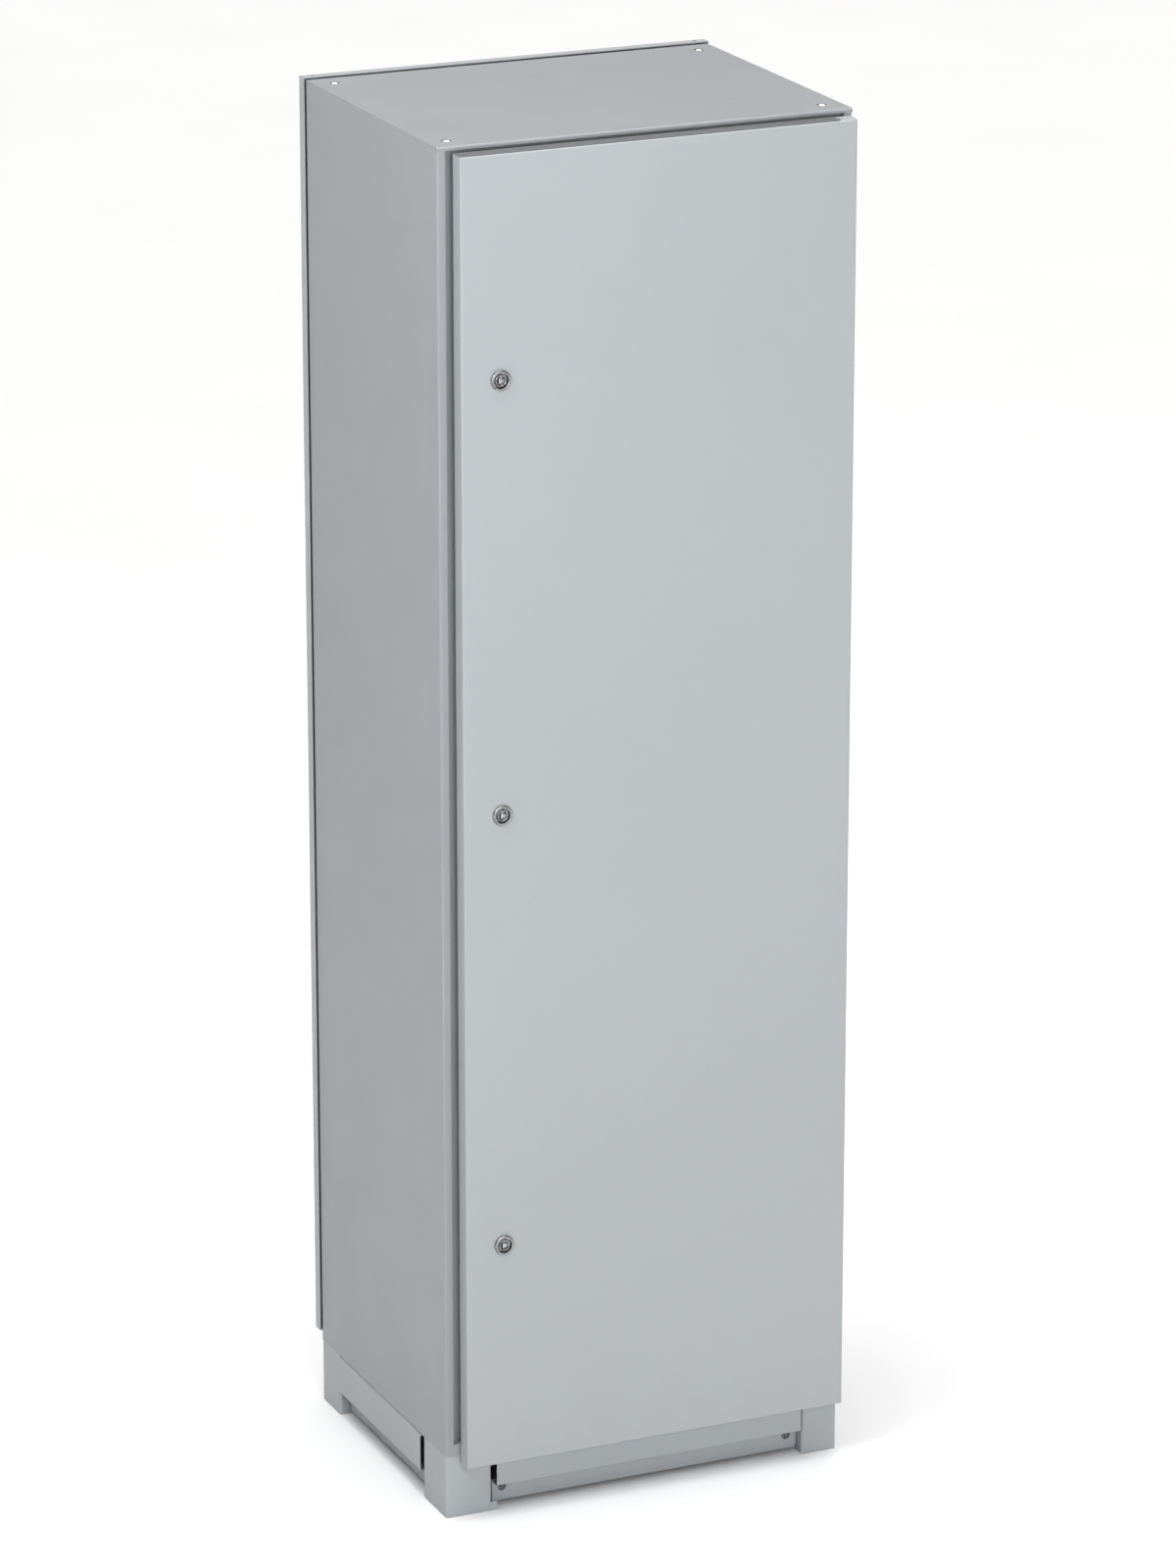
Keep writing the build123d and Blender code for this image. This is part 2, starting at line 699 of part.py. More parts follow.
def plinth_parts():
    """Four corner legs, four joggled covers and the bolts up into the body."""
    wide_gap = panel_gap + panel_shift
    narrow_gap = panel_gap - panel_shift
    plinth_x = body_width / 2 - leg_setback
    plinth_y = (front + leg_setback, rear - leg_setback)
    side_length = plinth_y[1] - plinth_y[0] - leg_side_front - leg_side_rear - 2 * panel_gap
    front_length = 2 * plinth_x - leg_front_left - leg_front_right - 2 * panel_gap
    rear_length = 2 * plinth_x - 2 * leg_rear - 2 * panel_gap
    front_start = leg_front_left + wide_gap - plinth_x
    rear_start = plinth_x - leg_rear - panel_gap
    left_start = plinth_y[1] - leg_side_rear - narrow_gap
    right_start = plinth_y[0] + leg_side_front + wide_gap
    places = {
        "front": (Pos(front_start, plinth_y[0], 0), front_length),
        "rear": (Pos(rear_start, plinth_y[1], 0) * Rot(0, 0, 180), rear_length),
        "left": (Pos(-plinth_x, left_start, 0) * Rot(0, 0, -90), side_length),
        "right": (Pos(plinth_x, right_start, 0) * Rot(0, 0, 90), side_length),
    }
    parts = {f"plinth_panel_{name}": at * plinth_panel(span) for name, (at, span) in places.items()}
    studs = [at * stud for at, span in places.values() for stud in plinth_studs(span)]
    mirror_x = Plane.YZ
    mirror_y = Plane.XZ
    front_left_leg = leg(leg_front_left, leg_side_front, wide_gap, wide_gap)
    tab_x = (leg_front_left - leg_sheet, leg_front_left + foot_tab_width)
    front_left_leg += block(tab_x, (0, leg_sheet), (0, foot_tab_height))
    front_right_leg = leg(leg_front_right, leg_side_front, narrow_gap, wide_gap)
    rear_leg = mirror(leg(leg_rear, leg_side_rear, panel_gap, narrow_gap), about=mirror_y)
    front_right_leg = mirror(front_right_leg, about=mirror_x)
    parts["plinth_leg_front_left"] = Pos(-plinth_x, plinth_y[0], 0) * front_left_leg
    parts["plinth_leg_front_right"] = Pos(plinth_x, plinth_y[0], 0) * front_right_leg
    parts["plinth_leg_rear_left"] = Pos(-plinth_x, plinth_y[1], 0) * rear_leg
    parts["plinth_leg_rear_right"] = Pos(plinth_x, plinth_y[1], 0) * mirror(rear_leg, about=mirror_x)
    seat = body_bottom + door_sheet
    under = plinth_height - leg_sheet
    nut_z = (under - large_nut["height"], under)
    length = seat - nut_z[0] + thread_run_out
    bolts = [screw("Z", point, seat, 1, length, large_screw) for point in leg_points]
    nuts = [nut("Z", point, nut_z, large_nut["flats"], bolt_hole_radius) for point in leg_points]
    parts["plinth_studs"] = group(studs)
    parts["plinth_bolts"] = group(bolts)
    parts["plinth_nuts"] = group(nuts)
    return parts


# ---------------------------------------------------------------- hinges
def hinge_foot_offsets():
    """Heights of a hinge bracket's two screws from its middle."""
    return (-hinge_foot_height / 3, hinge_foot_height / 3)


def hinge_foot_x():
    """Middle of the hinge bracket's foot in the gutter."""
    return lip_x + gutter_width / 2


def hinge_bracket(z):
    """Bracket fixed in the gutter, with an arm that carries the pin ahead of the flange."""
    foot_x = (lip_x + 1, gutter_x - 1)
    foot_y = (gutter_floor - hinge_foot_thickness, gutter_floor)
    half = hinge_foot_height / 2
    bracket = block(foot_x, foot_y, (z - half, z + half))
    arm_z = (z - hinge_arm_height / 2, z + hinge_arm_height / 2)
    arm_x = (gutter_x - 1 - hinge_arm_width, gutter_x - 1)
    eye_y = (pivot_y - hinge_eye_radius, pivot_y + hinge_eye_radius)
    bracket += block(arm_x, (eye_y[0], foot_y[1]), arm_z)
    bracket += block((arm_x[0], pivot_x), eye_y, arm_z)
    bracket += rod("Z", (pivot_x, pivot_y), arm_z, hinge_eye_radius)
    bore = hinge_pin_radius + running_clearance
    bracket -= rod("Z", (pivot_x, pivot_y), (arm_z[0] - 1, arm_z[1] + 1), bore)
    for offset in hinge_foot_offsets():
        hole_y = (foot_y[0] - 1, foot_y[1] + 1)
        bracket -= rod("Y", (hinge_foot_x(), z + offset), hole_y, clear_hole)
    return bracket


def hinge_leaf(z):
    """Leaf on the door's inner face with an ear above and below the bracket's arm."""
    x_span = (pivot_x - hinge_arm_width, pivot_x + hinge_pin_radius)
    y_plate = (door_inner, door_inner + hinge_leaf_thickness)
    half = hinge_leaf_height / 2
    leaf = block(x_span, y_plate, (z - half, z + half))
    bore = hinge_pin_radius + running_clearance
    start = hinge_arm_height / 2 + hinge_side_gap
    for side in (-1, 1):
        ear_z = (z + side * start, z + side * (start + hinge_ear_height))
        leaf += block((x_span[0], pivot_x), (door_inner, pivot_y + hinge_eye_radius), ear_z)
        leaf += block((pivot_x, x_span[1]), (door_inner, pivot_y), ear_z)
        leaf += rod("Z", (pivot_x, pivot_y), ear_z, hinge_eye_radius)
    leaf -= rod("Z", (pivot_x, pivot_y), (z - half, z + half), bore)
    for point in hinge_stud_points(z):
        leaf -= rod("Y", point, (door_inner - 1, y_plate[1] + 1), clear_hole)
    return leaf


def hinge_stud_points(z):
    """The two stud positions of a hinge leaf."""
    offset = hinge_leaf_height / 2 - leaf_nut["flats"]
    x = pivot_x - hinge_arm_width / 2
    return [(x, z - offset), (x, z + offset)]


def hinge_pin(z):
    """Headed pin through the ears and the arm."""
    reach = hinge_arm_height / 2 + hinge_side_gap + hinge_ear_height
    centre = (pivot_x, pivot_y)
    head_low = z + reach + hinge_side_gap
    pin = rod("Z", centre, (z - reach - hinge_pin_head, head_low), hinge_pin_radius)
    return pin + rod("Z", centre, (head_low, head_low + hinge_pin_head), hinge_pin_head_radius)


def hinge_parts():
    """Body brackets, pins and door leaves of the three concealed hinges."""
    seat = gutter_floor - hinge_foot_thickness
    screws = [
        screw("Y", (hinge_foot_x(), z + offset), seat, -1, hinge_foot_thickness + tapped_depth)
        for z in hinge_heights
        for offset in hinge_foot_offsets()
    ]
    nut_low = door_inner + hinge_leaf_thickness
    nuts = [
        nut("Y", point, (nut_low, nut_low + leaf_nut["height"]), leaf_nut["flats"], clear_hole)
        for z in hinge_heights
        for point in hinge_stud_points(z)
    ]
    return {
        "hinge_brackets": group(hinge_bracket(z) for z in hinge_heights),
        "hinge_bracket_screws": group(screws),
        "hinge_pins": group(hinge_pin(z) for z in hinge_heights),
        "hinge_leaves": group(hinge_leaf(z) for z in hinge_heights),
        "hinge_leaf_nuts": group(nuts),
    }


# ---------------------------------------------------------------- door
def door_panel():
    """Door: folded tray with hinge notches, lock and paint-hanging holes, and welded studs."""
    x_span = (door_left, door_right)
    panel = tray(x_span, (door_front, door_back), (door_bottom, door_top), door_sheet, 1)
    notch_half = hinge_arm_height / 2 + 2
    for z in hinge_heights:
        notch_x = (door_right - 2 * door_sheet, door_right + 1)
        notch_y = (door_front + door_edge_radius, door_back + 1)
        panel -= block(notch_x, notch_y, (z - notch_half, z + notch_half))
    for z in lock_heights.values():
        hole = lock_barrel_radius + screw_hole_clearance
        panel -= rod("Y", (lock_x, z), (door_front - 1, door_inner + 1), hole)
    for x in (door_left + hang_hole_inset, door_right - hang_hole_inset_hinge):
        hole_z = (door_top - 2 * door_sheet, door_top + 1)
        panel -= rod("Z", (x, door_front + door_depth / 2), hole_z, hang_hole_radius)
    stud_end = door_inner + hinge_leaf_thickness + 2 * small_screw["shank"]
    for z in hinge_heights:
        for point in hinge_stud_points(z):
            panel += rod("Y", point, (door_inner, stud_end), small_screw["shank"])
    earth = (door_left + stiffener_inset + 2 * stiffener_width, door_bottom + 3 * stiffener_width)
    panel += rod("Y", earth, (door_inner, door_inner + stiffener_depth), earth_stud_radius)
    panel += prism("Y", earth, (door_inner, door_inner + earth_stud_radius), 3 * earth_stud_radius)
    return panel


def door_gasket():
    """Rubber strip on the door's inner face, in line with the sealing lip."""
    grow = (gasket_width - body_sheet) / 2
    x_span = (-lip_x - grow, lip_x + grow)
    z_span = (lip_bottom - grow, lip_top + grow)
    return ring(x_span, (door_inner, lip_front - seal_gap), z_span, gasket_width)


def stiffener(x):
    """Vertical perforated channel inside the door."""
    half = body_sheet / 2
    web_y = door_inner + stiffener_depth - half
    path = [
        (x - stiffener_width / 2 + half, door_inner),
        (x - stiffener_width / 2 + half, web_y),
        (x + stiffener_width / 2 - half, web_y),
        (x + stiffener_width / 2 - half, door_inner),
    ]
    low = lip_bottom + gasket_width
    count = int((lip_top - lip_bottom - 2 * gasket_width) // rail_pitch)
    channel = Pos(0, 0, low) * folded(path, body_sheet, count * rail_pitch)
    hole_y = (web_y - body_sheet, web_y + body_sheet)
    centres = [low + (index + 0.5) * rail_pitch for index in range(count)]
    return channel - [rod("Y", (x, z), hole_y, stiffener_hole_radius) for z in centres]


def document_pocket():
    """Plastic pocket for drawings, open at the top, between the two stiffeners."""
    middle = (door_bottom + door_top) / 2
    x_span = (-pocket_width / 2, pocket_width / 2)
    z_span = (middle - pocket_height / 2, middle + pocket_height / 2)
    y_span = (door_inner, door_inner + pocket_depth)
    body = block(x_span, y_span, z_span)
    cavity = block(
        (x_span[0] + pocket_wall, x_span[1] - pocket_wall),
        (y_span[0] + pocket_wall, y_span[1] - pocket_wall),
        (z_span[0] + pocket_wall, z_span[1] + 1),
    )
    finger_y = (y_span[1] - 2 * pocket_wall, y_span[1] + 1)
    finger = rod("Y", (0, z_span[1]), finger_y, pocket_height / 5)
    return body - cavity - finger


def door_parts():
    """Door panel with everything fixed to it apart from hinges and locks."""
    return {
        "door_panel": door_panel(),
        "door_gasket": door_gasket(),
        "door_stiffener_left": stiffener(door_left + stiffener_inset + stiffener_width / 2),
        "door_stiffener_right": stiffener(door_right - stiffener_inset + stiffener_width / 2),
        "document_pocket": document_pocket(),
    }


# ---------------------------------------------------------------- locks
def keeper_offsets():
    """Heights of a keeper's two screws from its middle."""
    return (-keeper_height / 3, keeper_height / 3)


def keeper_screw_y():
    """Depth of the keeper screws on the lip."""
    return (keeper_front + gutter_floor) / 2 + keeper_thickness


def lock_housing(z):
    """Round flange on the door's face with a threaded barrel through the door."""
    centre = (lock_x, z)
    face = door_front - lock_flange_height
    flange = rod("Y", centre, (face, door_front), lock_flange_radius)
    rim = min(flange.edges().filter_by(GeomType.CIRCLE), key=lambda e: e.center().Y)
    housing = chamfer([rim], lock_flange_height / 4)
    end = cam_front - 1
    housing += rod("Y", centre, (door_front, end), lock_barrel_radius)
    housing -= rod("Y", centre, (face - 1, face + lock_mouth_depth), lock_mouth_radius)
    housing -= rod("Y", centre, (face, end + 1), lock_core_radius + running_clearance)
    return housing


def lock_core(z):
    """Turning core: a recessed disc with a three-sided post for the key and a square end."""
    centre = (lock_x, z)
    face = door_front - lock_flange_height + lock_core_setback
    core = rod("Y", centre, (face, cam_front), lock_core_radius)
    well_end = face + lock_core_radius
    well = rod("Y", centre, (face - 1, well_end), lock_core_radius - lock_core_wall)
    post = prism("Y", centre, (face, well_end), post_across, 3, 90)
    end = (cam_front, cam_front + cam_thickness)
    return core - well + post + prism("Y", centre, end, key_side, 4)


def lock_cam(z):
    """Flat cam on the core's square end, hanging down when unlocked."""
    depth = (cam_front, cam_front + cam_thickness)
    hub = rod("Y", (lock_x, z), depth, cam_half_width)
    arm_x = (lock_x - cam_half_width, lock_x + cam_half_width)
    cam = hub + block(arm_x, depth, (z - cam_reach, z))
    tip = [e for e in cam.edges().filter_by(Axis.Y) if e.center().Z < z - cam_reach + 1]
    cam = fillet(tip, cam_half_width / 3)
    return cam - prism("Y", (lock_x, z), depth, key_side + 2 * running_clearance, 4)


def keeper(z):
    """Angle on the sealing lip that the cam turns behind."""
    z_span = (z - keeper_height / 2, z + keeper_height / 2)
    start = -lip_x + body_sheet
    foot = block((start, start + keeper_thickness), (keeper_front, gutter_floor), z_span)
    catch = block((start, start + keeper_reach), (keeper_front, keeper_front + keeper_thickness), z_span)
    angle = foot + catch
    for offset in keeper_offsets():
        hole_x = (start - 1, start + keeper_thickness + 1)
        angle -= rod("X", (keeper_screw_y(), z + offset), hole_x, clear_hole)
    return angle


def lock_parts():
    """Housing, nut, core, cam and cam screw of each of the three locks, and the keepers."""
    parts = {}
    nuts = []
    end = cam_front + cam_thickness
    for name, z in lock_heights.items():
        centre = (lock_x, z)
        parts[f"lock_housing_{name}"] = lock_housing(z)
        bore_y = (end - lock_thread_depth, end + 1)
        parts[f"lock_core_{name}"] = lock_core(z) - rod("Y", centre, bore_y, small_screw["shank"])
        parts[f"lock_cam_{name}"] = lock_cam(z)
        length = lock_thread_depth - small_screw["head"] / 10
        parts[f"lock_cam_screw_{name}"] = screw("Y", centre, end, 1, length, cam_screw)
        nut_y = (door_inner, door_inner + lock_nut_thickness)
        bore = lock_barrel_radius + screw_hole_clearance
        nuts.append(nut("Y", centre, nut_y, 3 * lock_barrel_radius, bore))
    heights = lock_heights.values()
    seat = -lip_x + body_sheet + keeper_thickness
    screws = [
        screw("X", (keeper_screw_y(), z + offset), seat, 1, keeper_thickness + body_sheet + 1)
        for z in heights
        for offset in keeper_offsets()
    ]
    parts["lock_nuts"] = group(nuts)
    parts["lock_keepers"] = group(keeper(z) for z in heights)
    parts["keeper_screws"] = group(screws)
    return parts


def main():
    """Build every piece and write one file each."""
    os.makedirs("parts", exist_ok=True)
    pieces = {
        **shell_parts(),
        **gland_parts(),
        **inside_parts(),
        **plinth_parts(),
        **hinge_parts(),
        **door_parts(),
        **lock_parts(),
    }
    for name, shape in pieces.items():
        export_step(shape, f"parts/{name}.step")
    print(len(pieces), "pieces")


if __name__ == "__main__":
    main()
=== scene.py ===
"""Looks of a floor-standing switchboard cabinet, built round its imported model.

Metres, +Z up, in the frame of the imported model: the door faces -Y and the floor is Z = 0.
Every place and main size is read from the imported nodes, so the pieces follow the model.
"""

import logging
import math
from dataclasses import dataclass, field
from enum import Enum
from typing import Callable, Iterable, Sequence

import bmesh
import bpy
from mathutils import Euler, Matrix, Vector


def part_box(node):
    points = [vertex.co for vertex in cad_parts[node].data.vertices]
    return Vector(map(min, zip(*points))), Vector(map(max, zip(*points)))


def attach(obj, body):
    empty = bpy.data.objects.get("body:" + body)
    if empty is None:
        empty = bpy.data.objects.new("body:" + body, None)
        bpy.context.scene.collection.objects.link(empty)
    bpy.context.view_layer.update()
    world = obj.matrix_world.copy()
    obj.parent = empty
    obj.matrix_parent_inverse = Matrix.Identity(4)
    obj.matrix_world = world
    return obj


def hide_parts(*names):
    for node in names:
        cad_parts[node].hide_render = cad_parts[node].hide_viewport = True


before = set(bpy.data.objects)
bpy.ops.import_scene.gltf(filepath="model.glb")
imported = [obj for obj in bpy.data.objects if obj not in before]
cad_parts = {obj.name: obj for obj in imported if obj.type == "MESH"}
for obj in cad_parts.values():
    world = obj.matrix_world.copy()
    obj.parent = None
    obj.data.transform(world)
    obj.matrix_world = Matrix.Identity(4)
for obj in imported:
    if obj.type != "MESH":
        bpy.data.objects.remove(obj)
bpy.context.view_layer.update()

LOG = logging.getLogger("cabinet")
MM = 0.001
TURN = 2 * math.pi
POLE = 1e-7  # radius under which a turned outline lies on its axis
WELD = 1e-6  # distance under which two vertices are one
SAME_SPOT = 0.01 * MM
IN_PLACE = Matrix.Identity(4)
LOCK_PLACES = ("top", "middle", "bottom")

Colour = tuple[float, float, float]
Box = tuple[Vector, Vector]
Outline = Sequence[tuple[float, float]]
Warp = Callable[[int, float, float, float], tuple[float, float]]


# ------------------------------------------------------------------ node trees
class NodeBook:
    """Short calls that fill a node tree."""

    def __init__(self, tree: bpy.types.NodeTree) -> None:
        """Keep the tree.

        Args:
            tree: the shader or geometry tree to fill.
        """
        self.tree = tree

    def add(self, kind: str, inputs: dict | None = None, **settings: object) -> bpy.types.Node:
        """Add one node.

        Args:
            kind: the node's type name.
            inputs: a socket to link or a value to set, by input name or number.
            settings: the node's own properties.

        Returns:
            The new node.
        """
        node = self.tree.nodes.new(kind)
        for name, value in settings.items():
            setattr(node, name, value)
        for key, value in (inputs or {}).items():
            if isinstance(value, bpy.types.NodeSocket):
                self.tree.links.new(value, node.inputs[key])
            else:
                node.inputs[key].default_value = value
        return node

    def position(self) -> bpy.types.NodeSocket:
        """Coordinates of the piece itself, which are the frame's at rest."""
        return self.add("ShaderNodeTexCoord").outputs["Object"]

    def noise(
        self, vector: bpy.types.NodeSocket, scale: float, detail: float = 2.0
    ) -> bpy.types.NodeSocket:
        """Soft noise.

        Args:
            vector: the coordinates it reads.
            scale: features for each metre.
            detail: octaves.

        Returns:
            The noise value, around 0.5.
        """
        inputs = {"Vector": vector, "Scale": scale, "Detail": detail}
        return self.add("ShaderNodeTexNoise", inputs).outputs["Fac"]

    def spread(
        self,
        value: bpy.types.NodeSocket,
        low: float,
        high: float,
        start: float = 0.3,
        end: float = 0.7,
    ) -> bpy.types.NodeSocket:
        """Map a value's range onto another, clamped.

        Args:
            value: what comes in.
            low: result at start.
            high: result at end.
            start: lower end of what comes in.
            end: upper end of what comes in.

        Returns:
            The mapped value.
        """
        inputs = {"Value": value, "From Min": start, "From Max": end, "To Min": low, "To Max": high}
        return self.add("ShaderNodeMapRange", inputs).outputs["Result"]

    def blend(
        self,
        factor: bpy.types.NodeSocket,
        first: Colour | bpy.types.NodeSocket,
        second: Colour | bpy.types.NodeSocket,
    ) -> bpy.types.NodeSocket:
        """Mix two colours.

        Args:
            factor: 0 for the first, 1 for the second.
            first: a colour or a socket.
            second: a colour or a socket.

        Returns:
            The mixed colour.
        """
        sides = [c if isinstance(c, bpy.types.NodeSocket) else (*c, 1.0) for c in (first, second)]
        inputs = {0: factor, 6: sides[0], 7: sides[1]}
        return self.add("ShaderNodeMix", inputs, data_type="RGBA").outputs[2]

    def multiply(self, first: bpy.types.NodeSocket, second: object) -> bpy.types.NodeSocket:
        """Product of two numbers, either of which may be a socket."""
        return self.add("ShaderNodeMath", {0: first, 1: second}, operation="MULTIPLY").outputs[0]

    def bump(
        self,
        height: bpy.types.NodeSocket,
        depth: float,
        normal: bpy.types.NodeSocket | None = None,
    ) -> bpy.types.NodeSocket:
        """Relief from a height value.

        Args:
            height: 0 to 1.
            depth: how deep 1 is, in metres.
            normal: the surface that the relief is laid on.

        Returns:
            The bent normal.
        """
        inputs = {"Height": height, "Distance": depth, "Strength": 1.0}
        if normal is not None:
            inputs["Normal"] = normal
        return self.add("ShaderNodeBump", inputs).outputs["Normal"]

    def softened_edge(self, radius: float) -> bpy.types.NodeSocket:
        """Normal that rounds every edge by a radius in metres."""
        return self.add("ShaderNodeBevel", {"Radius": radius}, samples=6).outputs["Normal"]

    def edge_mask(self, edge: bpy.types.NodeSocket) -> bpy.types.NodeSocket:
        """Value that is 0 on flats and rises towards 1 on a rounded edge.

        Args:
            edge: the normal that rounds the edges.

        Returns:
            The mask.
        """
        true_normal = self.add("ShaderNodeNewGeometry").outputs["True Normal"]
        inputs = {0: edge, 1: true_normal}
        facing = self.add("ShaderNodeVectorMath", inputs, operation="DOT_PRODUCT").outputs["Value"]
        return self.spread(facing, 1.0, 0.0, 0.75, 0.995)


def tinted(colour: Colour, factor: float) -> Colour:
    """The colour made lighter or darker by a factor."""
    return tuple(min(1.0, part * factor) for part in colour)


# ------------------------------------------------------------------ finishes
@dataclass(frozen=True)
class Finish:
    """A surface finish.

    Attributes:
        name: the material's name.
        colour: main colour, linear.
        roughness: main roughness.
        metallic: 1 for bare or plated metal.
        edge_radius: how far cut edges are softened, in metres.
    """

    name: str
    colour: Colour
    roughness: float
    metallic: float = 0.0
    edge_radius: float = 0.4 * MM

    def material(self) -> bpy.types.Material:
        """The finish as a material, made once.

        Returns:
            The material, which later calls give again.
        """
        known = bpy.data.materials.get(self.name)
        if known is not None:
            return known
        material = bpy.data.materials.new(self.name)
        material.use_nodes = True
        material.node_tree.nodes.clear()
        book = NodeBook(material.node_tree)
        shader = book.add("ShaderNodeBsdfPrincipled", {"Metallic": self.metallic})
        book.add("ShaderNodeOutputMaterial", {"Surface": shader.outputs["BSDF"]})
        for socket, value in self.surface(book).items():
            if isinstance(value, bpy.types.NodeSocket):
                book.tree.links.new(value, shader.inputs[socket])
            else:
                shader.inputs[socket].default_value = value
        material.diffuse_color = (*self.colour, 1.0)
        return material

    def surface(self, book: NodeBook) -> dict:
        """Values and sockets for the shader's inputs.

        Args:
            book: the material's tree.

        Returns:
            What goes into each input, by name.
        """
        raise NotImplementedError


@dataclass(frozen=True)
class PowderCoat(Finish):
    """Sprayed and baked paint with orange peel, faint clouding and a little dust low down.

    Attributes:
        peel_scale: orange peel's features for each metre.
        peel_depth: depth of the orange peel.
        grain_scale: fine grain's features for each metre.
        grain_depth: depth of the fine grain.
        clouding: how much lighter and darker the clouds are.
        fleck_tint: factor of the colour in the dark flecks.
        rub_and_highlight_tint: factor of the colour on rounded edges, which are lighter for rubbed
            paint and for a painted highlight.
        gloss_swing: how far the roughness strays to either side.
        specular: strength of the clear reflection.
        dust: colour of the dust.
        dust_height: height over the floor up to which it lies.
    """

    peel_scale: float = 420.0
    peel_depth: float = 0.022 * MM
    grain_scale: float = 1900.0
    grain_depth: float = 0.006 * MM
    clouding: float = 0.016
    fleck_tint: float = 0.72
    rub_and_highlight_tint: float = 1.35
    gloss_swing: float = 0.045
    specular: float = 0.42
    dust: Colour = (0.36, 0.34, 0.31)
    dust_height: float = 0.32

    def surface(self, book: NodeBook) -> dict:
        """Paint with its relief on softened edges.

        Args:
            book: the material's tree.

        Returns:
            What goes into each shader input.
        """
        position = book.position()
        edge = book.softened_edge(self.edge_radius)
        cloud = book.spread(book.noise(position, 2.3, 4.0), 0.0, 1.0)
        colour = book.blend(
            cloud, tinted(self.colour, 1 - self.clouding), tinted(self.colour, 1 + self.clouding)
        )
        grain = book.noise(position, self.grain_scale, 1.0)
        fleck = book.spread(grain, 0.0, 0.10, 0.35, 0.75)
        colour = book.blend(fleck, colour, tinted(self.colour, self.fleck_tint))
        # Rounded edges get a lighter colour: partly rubbed thin paint, partly a painted highlight
        # along every edge.
        mask = book.edge_mask(edge)
        rub_and_highlight = book.multiply(mask, book.spread(book.noise(position, 60.0), 0.02, 0.16))
        colour = book.blend(rub_and_highlight, colour, tinted(self.colour, self.rub_and_highlight_tint))
        height = book.add("ShaderNodeSeparateXYZ", {"Vector": position}).outputs["Z"]
        low_down = book.spread(height, 1.0, 0.0, 0.0, self.dust_height)
        patch = book.spread(book.noise(position, 17.0, 5.0), 0.0, 0.16, 0.42, 0.72)
        colour = book.blend(book.multiply(low_down, patch), colour, self.dust)
        smear = book.noise(position, 9.0, 5.0)
        smooth, rough = self.roughness - self.gloss_swing, self.roughness + self.gloss_swing
        peel = book.bump(book.noise(position, self.peel_scale, 2.0), self.peel_depth, edge)
        return {
            "Base Color": colour,
            "Roughness": book.spread(smear, smooth, rough),
            "Normal": book.bump(grain, self.grain_depth, peel),
            "Specular IOR Level": self.specular,
        }


@dataclass(frozen=True)
class Galvanised(Finish):
    """Zinc-coated sheet with its spangle.

    Attributes:
        spangle_scale: crystals for each metre.
        spangle_depth: relief of the crystals.
        spangle_bend: how far the crystals' borders wander, in metres.
    """

    metallic: float = 1.0
    spangle_scale: float = 95.0
    spangle_depth: float = 0.02 * MM
    spangle_bend: float = 4 * MM

    def surface(self, book: NodeBook) -> dict:
        """Crystals that differ in tone and gloss.

        Args:
            book: the material's tree.

        Returns:
            What goes into each shader input.
        """
        position = book.position()
        bend = book.noise(position, 130.0, 3.0)
        inputs = {0: bend, 1: (self.spangle_bend,) * 3, 2: position}
        shifted = book.add("ShaderNodeVectorMath", inputs, operation="MULTIPLY_ADD")
        cells = book.add(
            "ShaderNodeTexVoronoi", {"Vector": shifted.outputs[0], "Scale": self.spangle_scale}
        )
        crystal = book.add("ShaderNodeSeparateColor", {"Color": cells.outputs["Color"]})
        tone = book.spread(crystal.outputs[0], 0.0, 1.0, 0.0, 1.0)
        colour = book.blend(tone, tinted(self.colour, 0.84), tinted(self.colour, 1.1))
        bloom = book.spread(book.noise(position, 6.0, 5.0), 0.0, 0.25)
        colour = book.blend(bloom, colour, tinted(self.colour, 0.78))
        smooth, rough = self.roughness - 0.1, self.roughness + 0.12
        gloss = book.spread(crystal.outputs[1], smooth, rough, 0.0, 1.0)
        edge = book.softened_edge(self.edge_radius)
        return {
            "Base Color": colour,
            "Roughness": gloss,
            "Normal": book.bump(cells.outputs["Distance"], self.spangle_depth, edge),
        }


@dataclass(frozen=True)
class Plated(Finish):
    """Small parts with a thin bright plate, tumbled in a barrel.

    Attributes:
        warm: colour of the tinted patches.
        scuff_scale: tumbling marks for each metre.
        scuff_depth: depth of the marks.
    """

    metallic: float = 1.0
    warm: Colour = (0.74, 0.71, 0.60)
    scuff_scale: float = 900.0
    scuff_depth: float = 0.008 * MM

    def surface(self, book: NodeBook) -> dict:
        """Plate with a faint warm tint and tumbling marks.

        Args:
            book: the material's tree.

        Returns:
            What goes into each shader input.
        """
        position = book.position()
        tint = book.spread(book.noise(position, 110.0, 3.0), 0.0, 0.45)
        scuffs = book.noise(position, self.scuff_scale, 4.0)
        worn = book.spread(scuffs, 0.0, 0.35, 0.5, 0.8)
        colour = book.blend(tint, self.colour, self.warm)
        edge = book.softened_edge(self.edge_radius)
        return {
            "Base Color": book.blend(worn, colour, tinted(self.colour, 0.7)),
            "Roughness": book.spread(scuffs, self.roughness - 0.07, self.roughness + 0.1),
            "Normal": book.bump(scuffs, self.scuff_depth, edge),
        }


